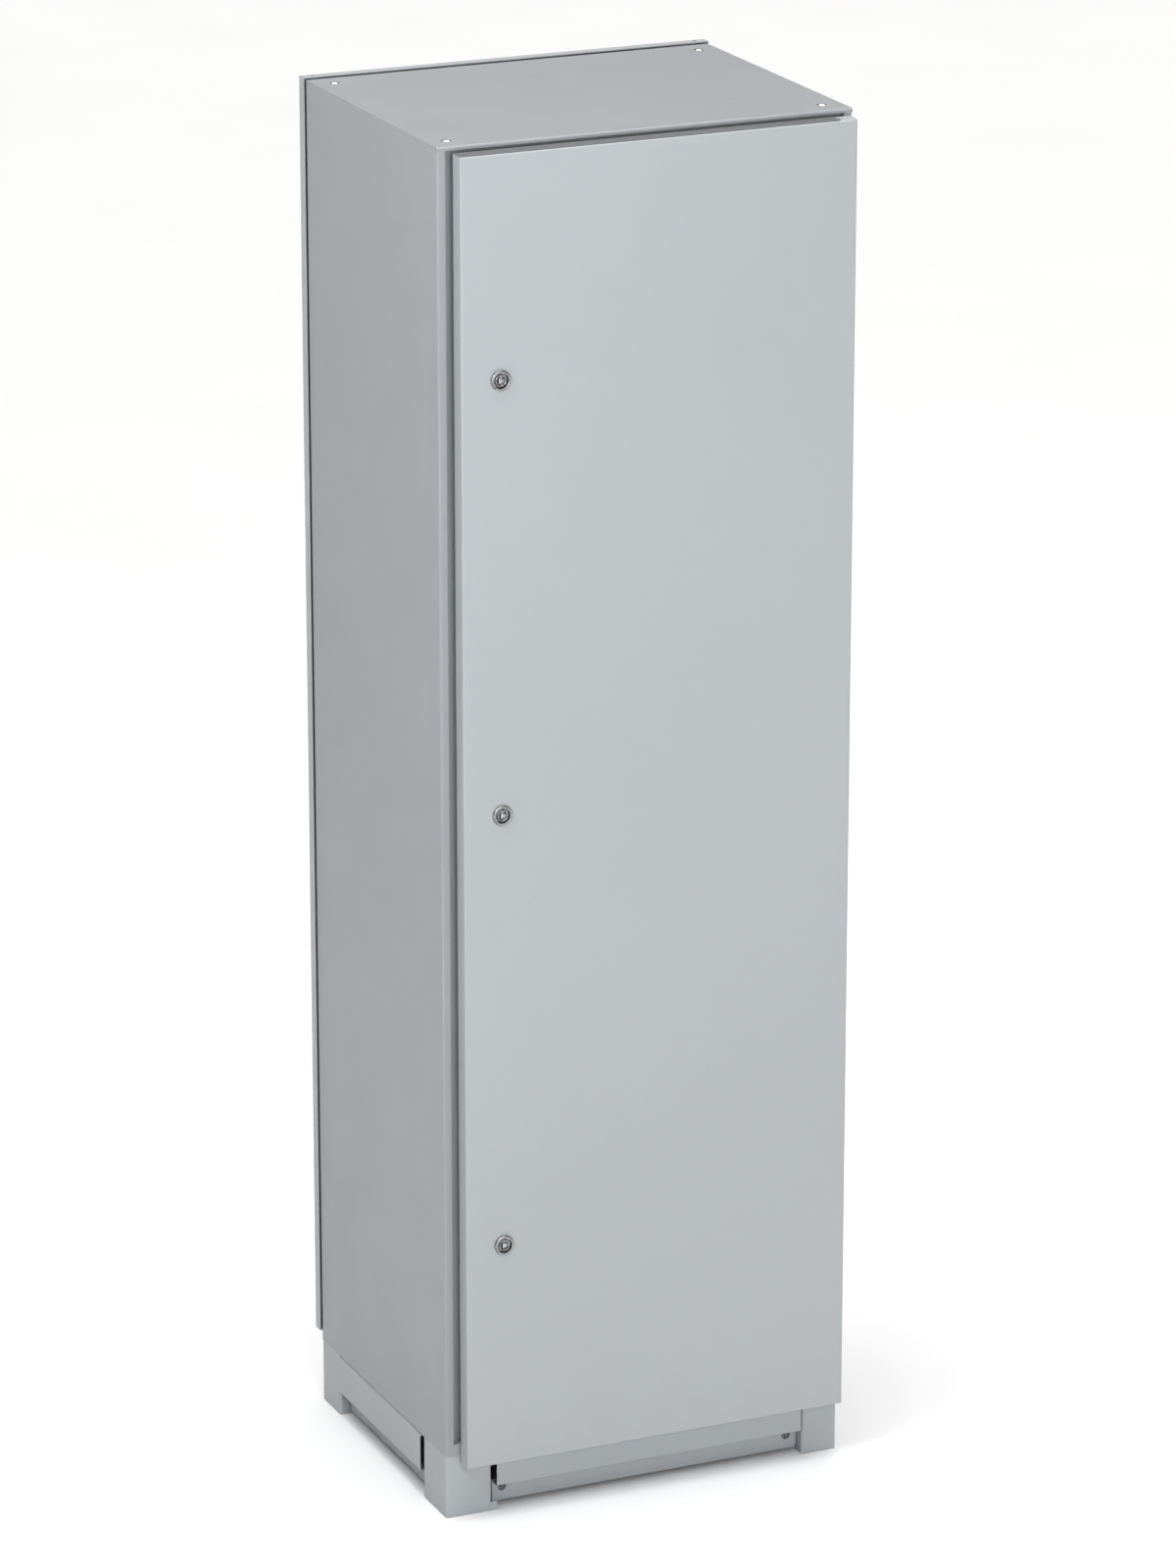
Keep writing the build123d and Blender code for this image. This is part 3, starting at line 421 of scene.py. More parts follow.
@dataclass(frozen=True)
class CastMetal(Finish):
    """Die-cast metal with a fine grain and soft darker stains."""

    metallic: float = 1.0
    grain_scale: float = 1500.0
    grain_depth: float = 0.02 * MM

    def surface(self, book: NodeBook) -> dict:
        """Grained metal with soft stains.

        Args:
            book: the material's tree.

        Returns:
            What goes into each shader input.
        """
        position = book.position()
        grain = book.noise(position, self.grain_scale, 3.0)
        stain = book.spread(book.noise(position, 180.0, 4.0), 0.0, 0.5)
        colour = book.blend(stain, tinted(self.colour, 1.08), tinted(self.colour, 0.74))
        edge = book.softened_edge(self.edge_radius)
        return {
            "Base Color": colour,
            "Roughness": book.spread(grain, self.roughness - 0.08, self.roughness + 0.12),
            "Normal": book.bump(grain, self.grain_depth, edge),
        }


@dataclass(frozen=True)
class TurnedMetal(Finish):
    """Plated metal with the fine rings of turning, which follow the piece's own map."""

    metallic: float = 1.0
    ring_scale: float = 5200.0
    ring_depth: float = 0.010 * MM

    def surface(self, book: NodeBook) -> dict:
        """Rings along the turned outline over soft stains.

        Args:
            book: the material's tree.

        Returns:
            What goes into each shader input.
        """
        position = book.position()
        turning = book.add("ShaderNodeUVMap", uv_map="Turning").outputs["UV"]
        along = book.add("ShaderNodeSeparateXYZ", {"Vector": turning}).outputs["Y"]
        rings = book.add(
            "ShaderNodeTexNoise",
            {"W": along, "Scale": self.ring_scale, "Detail": 2.0},
            noise_dimensions="1D",
        ).outputs["Fac"]
        stain = book.spread(book.noise(position, 240.0, 4.0), 0.0, 0.6)
        colour = book.blend(stain, tinted(self.colour, 1.1), tinted(self.colour, 0.66))
        edge = book.softened_edge(self.edge_radius)
        return {
            "Base Color": colour,
            "Roughness": book.spread(rings, self.roughness - 0.08, self.roughness + 0.10),
            "Normal": book.bump(rings, self.ring_depth, edge),
        }


@dataclass(frozen=True)
class Rubber(Finish):
    """Extruded rubber with fine pores and a dry bloom."""

    pore_scale: float = 1300.0
    pore_depth: float = 0.09 * MM
    bloom: Colour = (0.034, 0.035, 0.037)
    specular: float = 0.18

    def surface(self, book: NodeBook) -> dict:
        """Dull skin with pores.

        Args:
            book: the material's tree.

        Returns:
            What goes into each shader input.
        """
        position = book.position()
        pores = book.add(
            "ShaderNodeTexVoronoi", {"Vector": position, "Scale": self.pore_scale}
        ).outputs["Distance"]
        dry = book.spread(book.noise(position, 40.0, 4.0), 0.0, 0.7)
        return {
            "Base Color": book.blend(dry, self.colour, self.bloom),
            "Roughness": book.spread(pores, self.roughness + 0.08, self.roughness - 0.06, 0.0, 0.8),
            "Normal": book.bump(pores, self.pore_depth, book.softened_edge(self.edge_radius)),
            "Specular IOR Level": self.specular,
        }


@dataclass(frozen=True)
class MouldedPlastic(Finish):
    """Injection-moulded plastic with a fine spark-eroded grain."""

    grain_scale: float = 1700.0
    grain_depth: float = 0.014 * MM
    flow: float = 0.04

    def surface(self, book: NodeBook) -> dict:
        """Grained plastic with faint flow clouds.

        Args:
            book: the material's tree.

        Returns:
            What goes into each shader input.
        """
        position = book.position()
        grain = book.noise(position, self.grain_scale, 2.0)
        cloud = book.spread(book.noise(position, 11.0, 4.0), 0.0, 1.0)
        deep, pale = tinted(self.colour, 1 - self.flow), tinted(self.colour, 1 + self.flow)
        colour = book.blend(cloud, deep, pale)
        return {
            "Base Color": colour,
            "Roughness": book.spread(grain, self.roughness - 0.06, self.roughness + 0.08),
            "Normal": book.bump(grain, self.grain_depth, book.softened_edge(self.edge_radius)),
            "Specular IOR Level": 0.5,
        }


@dataclass(frozen=True)
class StudioFloor(Finish):
    """Pale matt studio floor, a shade uneven."""

    def surface(self, book: NodeBook) -> dict:
        """Matt pale surface with hardly visible clouds.

        Args:
            book: the material's tree.

        Returns:
            What goes into each shader input.
        """
        cloud = book.spread(book.noise(book.position(), 1.5, 3.0), 0.0, 1.0)
        return {
            "Base Color": book.blend(cloud, tinted(self.colour, 0.985), self.colour),
            "Roughness": book.spread(cloud, self.roughness, self.roughness + 0.06, 0.0, 1.0),
            "Specular IOR Level": 0.1,
        }


# Painted shade: the body's coat is the door's light grey set about a fifth darker, so the cabinet's
# sides come out shaded; the roof panel takes the same darkened coat.
BODY_PAINT_WITH_PAINTED_SHADE = PowderCoat("light_grey_body_coat_with_painted_shade", (0.316, 0.331, 0.345), 0.47)
DOOR_PAINT = PowderCoat("light_grey_door_coat", (0.398, 0.419, 0.436), 0.46)
REAR_PAINT = PowderCoat("light_grey_rear_coat", (0.395, 0.414, 0.431), 0.48)
PLINTH_PAINT = PowderCoat(
    "light_grey_plinth_coat", (0.390, 0.412, 0.430), 0.50, edge_radius=0.6 * MM
)
ZINC_SHEET = Galvanised("galvanised_sheet", (0.60, 0.62, 0.63), 0.36)
BRIGHT_ZINC = Plated("bright_zinc_plate", (0.74, 0.75, 0.75), 0.30, edge_radius=0.2 * MM)
CAST_ZINC = CastMetal("satin_cast_zinc", (0.50, 0.50, 0.50), 0.44)
LOCK_NICKEL = TurnedMetal("dull_nickel_lock_ring", (0.33, 0.335, 0.34), 0.32, edge_radius=0.15 * MM)
CORE_NICKEL = TurnedMetal(
    "satin_nickel_lock_core", (0.44, 0.445, 0.45), 0.27, edge_radius=0.15 * MM
)
# This dark grey also colours the strip on the door's top edge, where it is painted shade.
PLUG_PLASTIC = MouldedPlastic(
    "dark_grey_plastic", (0.135, 0.142, 0.148), 0.52, edge_radius=0.2 * MM
)
SEAL_RUBBER = Rubber("black_seal_rubber", (0.022, 0.022, 0.024), 0.80, edge_radius=0.3 * MM)
POCKET_PLASTIC = MouldedPlastic("grey_pocket_plastic", (0.50, 0.52, 0.53), 0.36, grain_scale=900.0)
FLOOR = StudioFloor("pale_studio_floor", (0.93, 0.93, 0.93), 0.8)

FINISH_OF_SLOT = {
    "body_paint": BODY_PAINT_WITH_PAINTED_SHADE,
    "door_paint": DOOR_PAINT,
    "rear_paint": REAR_PAINT,
    "plinth_paint": PLINTH_PAINT,
    "galvanised_steel": ZINC_SHEET,
    "zinc_fastener": BRIGHT_ZINC,
    "cast_metal": CAST_ZINC,
    "lock_metal": LOCK_NICKEL,
    "lock_core_metal": CORE_NICKEL,
    "plug_plastic": PLUG_PLASTIC,
    "seal_rubber": SEAL_RUBBER,
    "pocket_plastic": POCKET_PLASTIC,
}


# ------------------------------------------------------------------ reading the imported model
class Facing(Enum):
    """Way that a piece points."""

    LEFT = (-1, 0, 0)
    RIGHT = (1, 0, 0)
    FRONT = (0, -1, 0)
    REAR = (0, 1, 0)
    DOWN = (0, 0, -1)
    UP = (0, 0, 1)

    @property
    def axis(self) -> int:
        """Number of the axis it lies on."""
        return next(i for i, part in enumerate(self.value) if part)

    @property
    def sign(self) -> int:
        """Which way along that axis."""
        return self.value[self.axis]

    def turn(self) -> Matrix:
        """Rotation that takes +Z to this way."""
        if self is Facing.UP:
            return Matrix.Identity(4)
        return Vector(self.value).to_track_quat("Z", "Y").to_matrix().to_4x4()


def solid_boxes(node: str) -> list[Box]:
    """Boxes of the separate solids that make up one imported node.

    Args:
        node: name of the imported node.

    Returns:
        The lowest and highest corner of each solid, in order of place.
    """
    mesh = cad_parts[node].data
    keys: dict[tuple, int] = {}
    places: list[Vector] = []
    vertex_key = []
    for vertex in mesh.vertices:
        spot = tuple(round(part / SAME_SPOT) for part in vertex.co)
        if spot not in keys:
            keys[spot] = len(places)
            places.append(vertex.co.copy())
        vertex_key.append(keys[spot])
    parent = list(range(len(places)))

    def root(item: int) -> int:
        """Representative of the solid that a point belongs to.

        Args:
            item: number of the point.

        Returns:
            Number of the point that stands for the whole solid.
        """
        while parent[item] != item:
            parent[item] = parent[parent[item]]
            item = parent[item]
        return item

    for polygon in mesh.polygons:
        corners = [vertex_key[index] for index in polygon.vertices]
        for corner in corners[1:]:
            parent[root(corner)] = root(corners[0])
    groups: dict[int, list[Vector]] = {}
    for index, place in enumerate(places):
        groups.setdefault(root(index), []).append(place)
    boxes = [
        (Vector(map(min, zip(*points))), Vector(map(max, zip(*points))))
        for points in groups.values()
    ]
    return sorted(boxes, key=lambda box: tuple(round(part, 4) for part in box[0]))


def packed_slot(node: str) -> str:
    """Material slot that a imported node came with."""
    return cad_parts[node].data.materials[0].name


# ------------------------------------------------------------------ meshes
def turned(outline: Outline, steps: int, warp: Warp | None = None) -> bmesh.types.BMesh:
    """Turn an outline about +Z, with a map whose height is the way along the outline.

    Args:
        outline: pairs of radius and height, in order round the section. A closed section ends
            at a radius where it can join its start, an outline from pole to pole is closed too.
        steps: vertices in each ring.
        warp: changes radius and height from the point's number, radius, height and angle.

    Returns:
        The closed turned mesh.
    """
    shape = bmesh.new()
    layer = shape.loops.layers.uv.new("Turning")
    rings: list[list[bmesh.types.BMVert]] = []
    travelled = [0.0]
    for before, after in zip(outline, list(outline[1:]) + [outline[0]]):
        travelled.append(travelled[-1] + math.dist(before, after))
    for index, (radius, height) in enumerate(outline):
        ring = []
        for step in range(steps if radius > POLE else 1):
            angle = TURN * step / steps
            reach, level = warp(index, radius, height, angle) if warp else (radius, height)
            ring.append(shape.verts.new((reach * math.cos(angle), reach * math.sin(angle), level)))
        rings.append(ring)
    for index, low in enumerate(rings):
        high = rings[(index + 1) % len(rings)]
        for step in range(steps):
            corners: dict[bmesh.types.BMVert, tuple[float, float]] = {}
            for ring, turn, way in (
                (low, step, travelled[index]),
                (low, step + 1, travelled[index]),
                (high, step + 1, travelled[index + 1]),
                (high, step, travelled[index + 1]),
            ):
                corners.setdefault(ring[turn % len(ring)], (turn / steps, way))
            if len(corners) > 2:
                face = shape.faces.new(list(corners))
                for loop in face.loops:
                    loop[layer].uv = corners[loop.vert]
    bmesh.ops.recalc_face_normals(shape, faces=shape.faces)
    return shape


def prism(outline: Outline, low: float, high: float, bevel: float) -> bmesh.types.BMesh:
    """Upright bar of any outline with softened edges at its top.

    Args:
        outline: corners in X and Y.
        low: height of the bottom.
        high: height of the top.
        bevel: size of the softened top edge.

    Returns:
        The closed bar.
    """
    shape = bmesh.new()
    shape.loops.layers.uv.new("Turning")
    lower = [shape.verts.new((x, y, low)) for x, y in outline]
    upper = [shape.verts.new((x, y, high)) for x, y in outline]
    count = len(outline)
    shape.faces.new(lower[::-1])
    top = shape.faces.new(upper)
    for index in range(count):
        after = (index + 1) % count
        shape.faces.new((lower[index], lower[after], upper[after], upper[index]))
    if bevel:
        bmesh.ops.bevel(
            shape, geom=list(top.edges), offset=bevel, segments=2, profile=0.6, affect="EDGES"
        )
    bmesh.ops.recalc_face_normals(shape, faces=shape.faces)
    return shape


def polygon_outline(sides: int, radius: float, turn: float = 0.0, soft: float = 0.0) -> Outline:
    """Regular outline.

    Args:
        sides: number of corners.
        radius: distance of the corners from the middle.
        turn: angle of the first corner.
        soft: angle to either side by which every corner is cut, 0 for sharp corners.

    Returns:
        The corners in order.
    """
    corners = []
    for index in range(sides):
        angle = turn + TURN * index / sides
        for offset in (-soft, soft) if soft else (0.0,):
            corners.append((radius * math.cos(angle + offset), radius * math.sin(angle + offset)))
    return corners


def hexagon_radius(apothem: float, angle: float) -> float:
    """Distance from a hexagon's centre to its side in one direction."""
    return apothem / math.cos((angle % (TURN / 6)) - TURN / 12)


def joined(shapes: Iterable[bmesh.types.BMesh]) -> bmesh.types.BMesh:
    """Several meshes as one.

    Args:
        shapes: the meshes, which are freed.

    Returns:
        The whole.
    """
    whole = bmesh.new()
    whole.loops.layers.uv.new("Turning")
    for shape in shapes:
        spare = bpy.data.meshes.new("spare")
        shape.to_mesh(spare)
        shape.free()
        whole.from_mesh(spare)
        bpy.data.meshes.remove(spare)
    return whole


def welded(mesh: bpy.types.Mesh) -> bmesh.types.BMesh:
    """Copy of a mesh with its doubles merged and its faces pointing outwards.

    Args:
        mesh: the mesh with open seams.

    Returns:
        The closed copy.
    """
    shape = bmesh.new()
    shape.from_mesh(mesh)
    bmesh.ops.remove_doubles(shape, verts=shape.verts, dist=WELD)
    bmesh.ops.recalc_face_normals(shape, faces=shape.faces)
    return shape


def as_mesh(
    shape: bmesh.types.BMesh, name: str, place: Matrix = IN_PLACE, crease: float = 32.0
) -> bpy.types.Mesh:
    """Turn a bmesh into a mesh in place, smooth but for its sharp edges.

    Args:
        shape: what to convert. It is freed.
        name: the mesh's name.
        place: where it goes in the frame.
        crease: angle in degrees past which an edge stays sharp.

    Returns:
        The mesh.
    """
    shape.transform(place)
    mesh = bpy.data.meshes.new(name)
    shape.to_mesh(mesh)
    shape.free()
    mesh.polygons.foreach_set("use_smooth", [True] * len(mesh.polygons))
    mesh.set_sharp_from_angle(angle=math.radians(crease))
    return mesh


def evaluated_mesh(holder: bpy.types.Object, name: str) -> bpy.types.Mesh:
    """Plain mesh of an object with its modifiers. The object is removed.

    Args:
        holder: the object with live modifiers, already in the scene.
        name: name of the new mesh.

    Returns:
        The plain mesh.
    """
    bpy.context.view_layer.update()
    graph = bpy.context.evaluated_depsgraph_get()
    mesh = bpy.data.meshes.new_from_object(holder.evaluated_get(graph))
    mesh.name = name
    bpy.data.objects.remove(holder)
    return mesh


def shown(name: str, data: bpy.types.ID) -> bpy.types.Object:
    """Show some data as an object of the scene.

    Args:
        name: the object's name.
        data: its mesh, curve, light or camera.

    Returns:
        The object.
    """
    piece = bpy.data.objects.new(name, data)
    bpy.context.scene.collection.objects.link(piece)
    return piece


def dressed(
    name: str, mesh: bpy.types.Mesh, body: str, slot: str, replaced: Sequence[str] = ()
) -> bpy.types.Object:
    """Make a finished piece that rides on a body.

    Args:
        name: the piece's name.
        mesh: its mesh, already in place.
        body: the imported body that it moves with.
        slot: the material slot that it takes its finish from.
        replaced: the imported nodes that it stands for.

    Returns:
        The piece.
    """
    mesh.materials.clear()
    mesh.materials.append(FINISH_OF_SLOT[slot].material())
    piece = shown(name, mesh)
    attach(piece, body)
    if replaced:
        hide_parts(*replaced)
    LOG.info("%s: %d faces on %s", name, len(mesh.polygons), body)
    return piece


# ------------------------------------------------------------------ geometry node trees
class GeometryTree:
    """A Geometry Nodes tree with named inputs."""

    def __init__(self, name: str, inputs: dict[str, str]) -> None:
        """Make the tree with its inputs and one geometry output.

        Args:
            name: the tree's name.
            inputs: socket type of each input, by name.
        """
        self.tree = bpy.data.node_groups.new(name, "GeometryNodeTree")
        face = self.tree.interface
        face.new_socket(name="Geometry", in_out="INPUT", socket_type="NodeSocketGeometry")
        self.keys = {
            label: face.new_socket(name=label, in_out="INPUT", socket_type=kind).identifier
            for label, kind in inputs.items()
        }
        face.new_socket(name="Geometry", in_out="OUTPUT", socket_type="NodeSocketGeometry")
        self.book = NodeBook(self.tree)
        self.given = self.book.add("NodeGroupInput").outputs

    def close(self, geometry: bpy.types.NodeSocket) -> None:
        """End the tree in real geometry with its material.

        Args:
            geometry: what the tree has made.
        """
        real = self.book.add("GeometryNodeRealizeInstances", {"Geometry": geometry})
        inputs = {"Geometry": real.outputs[0], "Material": self.given["Material"]}
        painted = self.book.add("GeometryNodeSetMaterial", inputs)
        self.book.add("NodeGroupOutput", {"Geometry": painted.outputs[0]})

    def run(self, name: str, start: bpy.types.Mesh, values: dict[str, object]) -> bpy.types.Mesh:
        """Run the tree once.

        Args:
            name: name of the result.
            start: the mesh that goes in.
            values: a value for each input, by name.

        Returns:
            A plain mesh.
        """
        holder = bpy.data.objects.new(name, start)
        modifier = holder.modifiers.new(name, "NODES")
        modifier.node_group = self.tree
        for label, value in values.items():
            modifier[self.keys[label]] = value
        bpy.context.scene.collection.objects.link(holder)
        return evaluated_mesh(holder, name)


def fixing_tree() -> GeometryTree:
    """Tree that sets a template on every point, each turned by a random amount about its axis.

    Returns:
        The tree, whose inputs are the template, its facing, the range of the turns and a seed.
    """
    tree = GeometryTree(
        "fixings_on_points",
        {
            "Template": "NodeSocketObject",
            "Facing": "NodeSocketVector",
            "Twist": "NodeSocketFloat",
            "Seed": "NodeSocketInt",
            "Material": "NodeSocketMaterial",
        },
    )
    book, given = tree.book, tree.given
    template = book.add("GeometryNodeObjectInfo", {"Object": given["Template"]})
    angle = book.add(
        "FunctionNodeRandomValue",
        {2: 0.0, 3: given["Twist"], "Seed": given["Seed"]},
        data_type="FLOAT",
    )
    about = {"Axis": (0, 0, 1), "Angle": angle.outputs[1]}
    twist = book.add("FunctionNodeAxisAngleToRotation", about)
    facing = book.add("FunctionNodeEulerToRotation", {"Euler": given["Facing"]})
    rotation = book.add(
        "FunctionNodeRotateRotation",
        {"Rotation": facing.outputs[0], "Rotate By": twist.outputs[0]},
        rotation_space="LOCAL",
    )
    placed = book.add(
        "GeometryNodeInstanceOnPoints",
        {
            "Points": given["Geometry"],
            "Instance": template.outputs["Geometry"],
            "Rotation": rotation.outputs[0],
        },
    )
    tree.close(placed.outputs[0])
    return tree


def seal_tree() -> GeometryTree:
    """Tree that runs a rounded bead round a rectangle with rounded corners, facing +Z.

    Returns:
        The tree, whose inputs are the sizes of rectangle and bead, their place and facing.
    """
    tree = GeometryTree(
        "seal_round_frame",
        {
            "Width": "NodeSocketFloat",
            "Height": "NodeSocketFloat",
            "Corner Radius": "NodeSocketFloat",
            "Bead Width": "NodeSocketFloat",
            "Bead Height": "NodeSocketFloat",
            "Crown": "NodeSocketFloat",
            "Place": "NodeSocketVector",
            "Facing": "NodeSocketVector",
            "Material": "NodeSocketMaterial",
        },
    )
    book, given = tree.book, tree.given
    sizes = {"Width": given["Width"], "Height": given["Height"]}
    frame_line = book.add("GeometryNodeCurvePrimitiveQuadrilateral", sizes)
    rounded = book.add(
        "GeometryNodeFilletCurve",
        {"Curve": frame_line.outputs[0], "Count": 8, "Radius": given["Corner Radius"]},
        mode="POLY",
    )
    circle = book.add("GeometryNodeCurvePrimitiveCircle", {"Resolution": 28, "Radius": 1.0})
    spot = book.add("GeometryNodeInputPosition").outputs[0]
    parts = book.add("ShaderNodeSeparateXYZ", {"Vector": spot}).outputs
    half = book.multiply(given["Bead Width"], 0.5)
    across = book.multiply(parts["X"], half)
    above = book.add("ShaderNodeMath", {0: parts["Y"], 1: 0.0}, operation="MAXIMUM").outputs[0]
    power = {0: above, 1: given["Crown"]}
    crowned = book.add("ShaderNodeMath", power, operation="POWER").outputs[0]
    lifted = book.multiply(book.multiply(crowned, given["Bead Height"]), -1.0)
    moved = book.add("ShaderNodeCombineXYZ", {"X": across, "Y": lifted})
    section = book.add(
        "GeometryNodeSetPosition", {"Geometry": circle.outputs[0], "Position": moved.outputs[0]}
    )
    curves = {"Curve": rounded.outputs[0], "Profile Curve": section.outputs[0]}
    bead = book.add("GeometryNodeCurveToMesh", curves)
    turn = book.add("FunctionNodeEulerToRotation", {"Euler": given["Facing"]})
    placed = book.add(
        "GeometryNodeTransform",
        {"Geometry": bead.outputs[0], "Translation": given["Place"], "Rotation": turn.outputs[0]},
    )
    tree.close(placed.outputs[0])
    return tree


# ------------------------------------------------------------------ screws and nuts
@dataclass
class FixingRow:
    """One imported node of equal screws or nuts.

    Attributes:
        node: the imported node.
        facing: the way that the heads, or the free ends of the nuts, point.
        rise: height of a screw's head, or 0 for a nut.
        bore: radius of a screw's shank or a nut's thread.
        body: the body that it rides on.
        seed: start of the random turns.
    """

    node: str
    facing: Facing
    rise: float
    bore: float
    seed: int
    body: str = "cabinet"

    def points(self) -> bpy.types.Mesh:
        """Seats of the screws or nuts.

        Returns:
            A mesh with one vertex for each.
        """
        spots = []
        for low, high in solid_boxes(self.node):
            spot = (low + high) / 2
            axis = self.facing.axis
            end = high[axis] if self.facing.sign > 0 else low[axis]
            back = self.rise if self.rise else (high - low)[axis]
            spot[axis] = end - self.facing.sign * back
            spots.append(spot)
        mesh = bpy.data.meshes.new("seats")
        mesh.from_pydata(spots, [], [])
        return mesh

    def size(self) -> tuple[float, float]:
        """Size of one screw or nut.

        Returns:
            Half the width of the head or across the flats, and the length along the axis.
        """
        low, high = solid_boxes(self.node)[0]
        spans = [high[i] - low[i] for i in range(3)]
        length = spans.pop(self.facing.axis)
        return min(spans) / 2, length

    def template(self) -> bmesh.types.BMesh:
        """One screw or nut.

        Returns:
            The mesh with its seat at the origin, pointing up.
        """
        radius, length = self.size()
        if self.rise:
            return button_screw(radius, self.rise, self.bore, length - self.rise)
        return chamfered_nut(radius, length, self.bore)


def threads(
    radius: float, start: float, end: float, pitch: float, depth: float
) -> list[tuple[float, float]]:
    """Zigzag outline of a thread.

    Args:
        radius: radius of the crests.
        start: height where it starts.
        end: height where it ends.
        pitch: distance between crests.
        depth: how far the roots are from the crests, below 0 for an inner thread.

    Returns:
        Radius and height pairs from start to end.
    """
    count = max(2, round(abs(end - start) / pitch))
    step = (end - start) / count
    points = []
    for index in range(count):
        points.append((radius, start + index * step))
        points.append((radius - depth, start + (index + 0.5) * step))
    return points + [(radius, end)]


def button_screw(
    head: float, rise: float, shank: float, length: float, steps: int = 24
) -> bmesh.types.BMesh:
    """Screw with a domed head and a six-sided socket.

    Args:
        head: radius of the head.
        rise: height of the head.
        shank: radius over the thread.
        length: length below the head.
        steps: vertices round the screw.

    Returns:
        The screw with its seat at the origin and its head upwards.
    """
    socket = 0.5 * head
    top = [
        (0.0, 0.42 * rise),
        (socket, 0.45 * rise),
        (socket, 0.94 * rise),
        (1.14 * socket, rise),
        (0.74 * head, 0.93 * rise),
        (0.9 * head, 0.72 * rise),
        (0.98 * head, 0.42 * rise),
        (head, 0.12 * rise),
        (0.97 * head, 0.0),
        (shank, 0.0),
    ]
    pitch = max(0.8 * MM, length / 12)
    outline = top + threads(shank, -pitch, -length + pitch / 2, pitch, 0.14 * shank)
    outline += [(0.8 * shank, -length), (0.0, -length)]

    def socket_sides(index: int, radius: float, height: float, angle: float) -> tuple[float, float]:
        """Six sides for the socket's two rings, round elsewhere.

        Args:
            index: number of the outline's point.
            radius: its radius.
            height: its height.
            angle: where round the piece it is.

        Returns:
            The new radius and height.
        """
        if index in (1, 2):
            return hexagon_radius(0.9 * radius, angle), height
        return radius, height

    return turned(outline, steps, socket_sides)


def chamfered_nut(
    across: float, thickness: float, bore: float, steps: int = 36
) -> bmesh.types.BMesh:
    """Six-sided nut with turned corners and an inner thread.

    Args:
        across: half the distance across its flats.
        thickness: height of the nut.
        bore: radius of the thread.
        steps: vertices round the nut.

    Returns:
        The nut with its seat at the origin.
    """
    slope = math.tan(math.radians(28))
    inner = threads(bore, 0.12 * thickness, 0.88 * thickness, 1.2 * MM, -0.35 * MM)
    lead = bore + 0.9 * MM
    outline = [(lead, 0.0), *inner, (lead, thickness), (0.93 * across, thickness)]
    upper, lower = len(outline), len(outline) + 1
    outline += [(across, thickness), (across, 0.0), (0.93 * across, 0.0)]

    def corners(index: int, radius: float, height: float, angle: float) -> tuple[float, float]:
        """Six flats whose corners fall away.

        Args:
            index: number of the outline's point.
            radius: its radius.
            height: its height.
            angle: where round the piece it is.

        Returns:
            The new radius and height.
        """
        if index not in (upper, lower):
            return radius, height
        reach = hexagon_radius(radius, angle)
        fall = (reach - 0.93 * across) * slope
        return reach, thickness - fall if index == upper else fall

    return turned(outline, steps, corners)


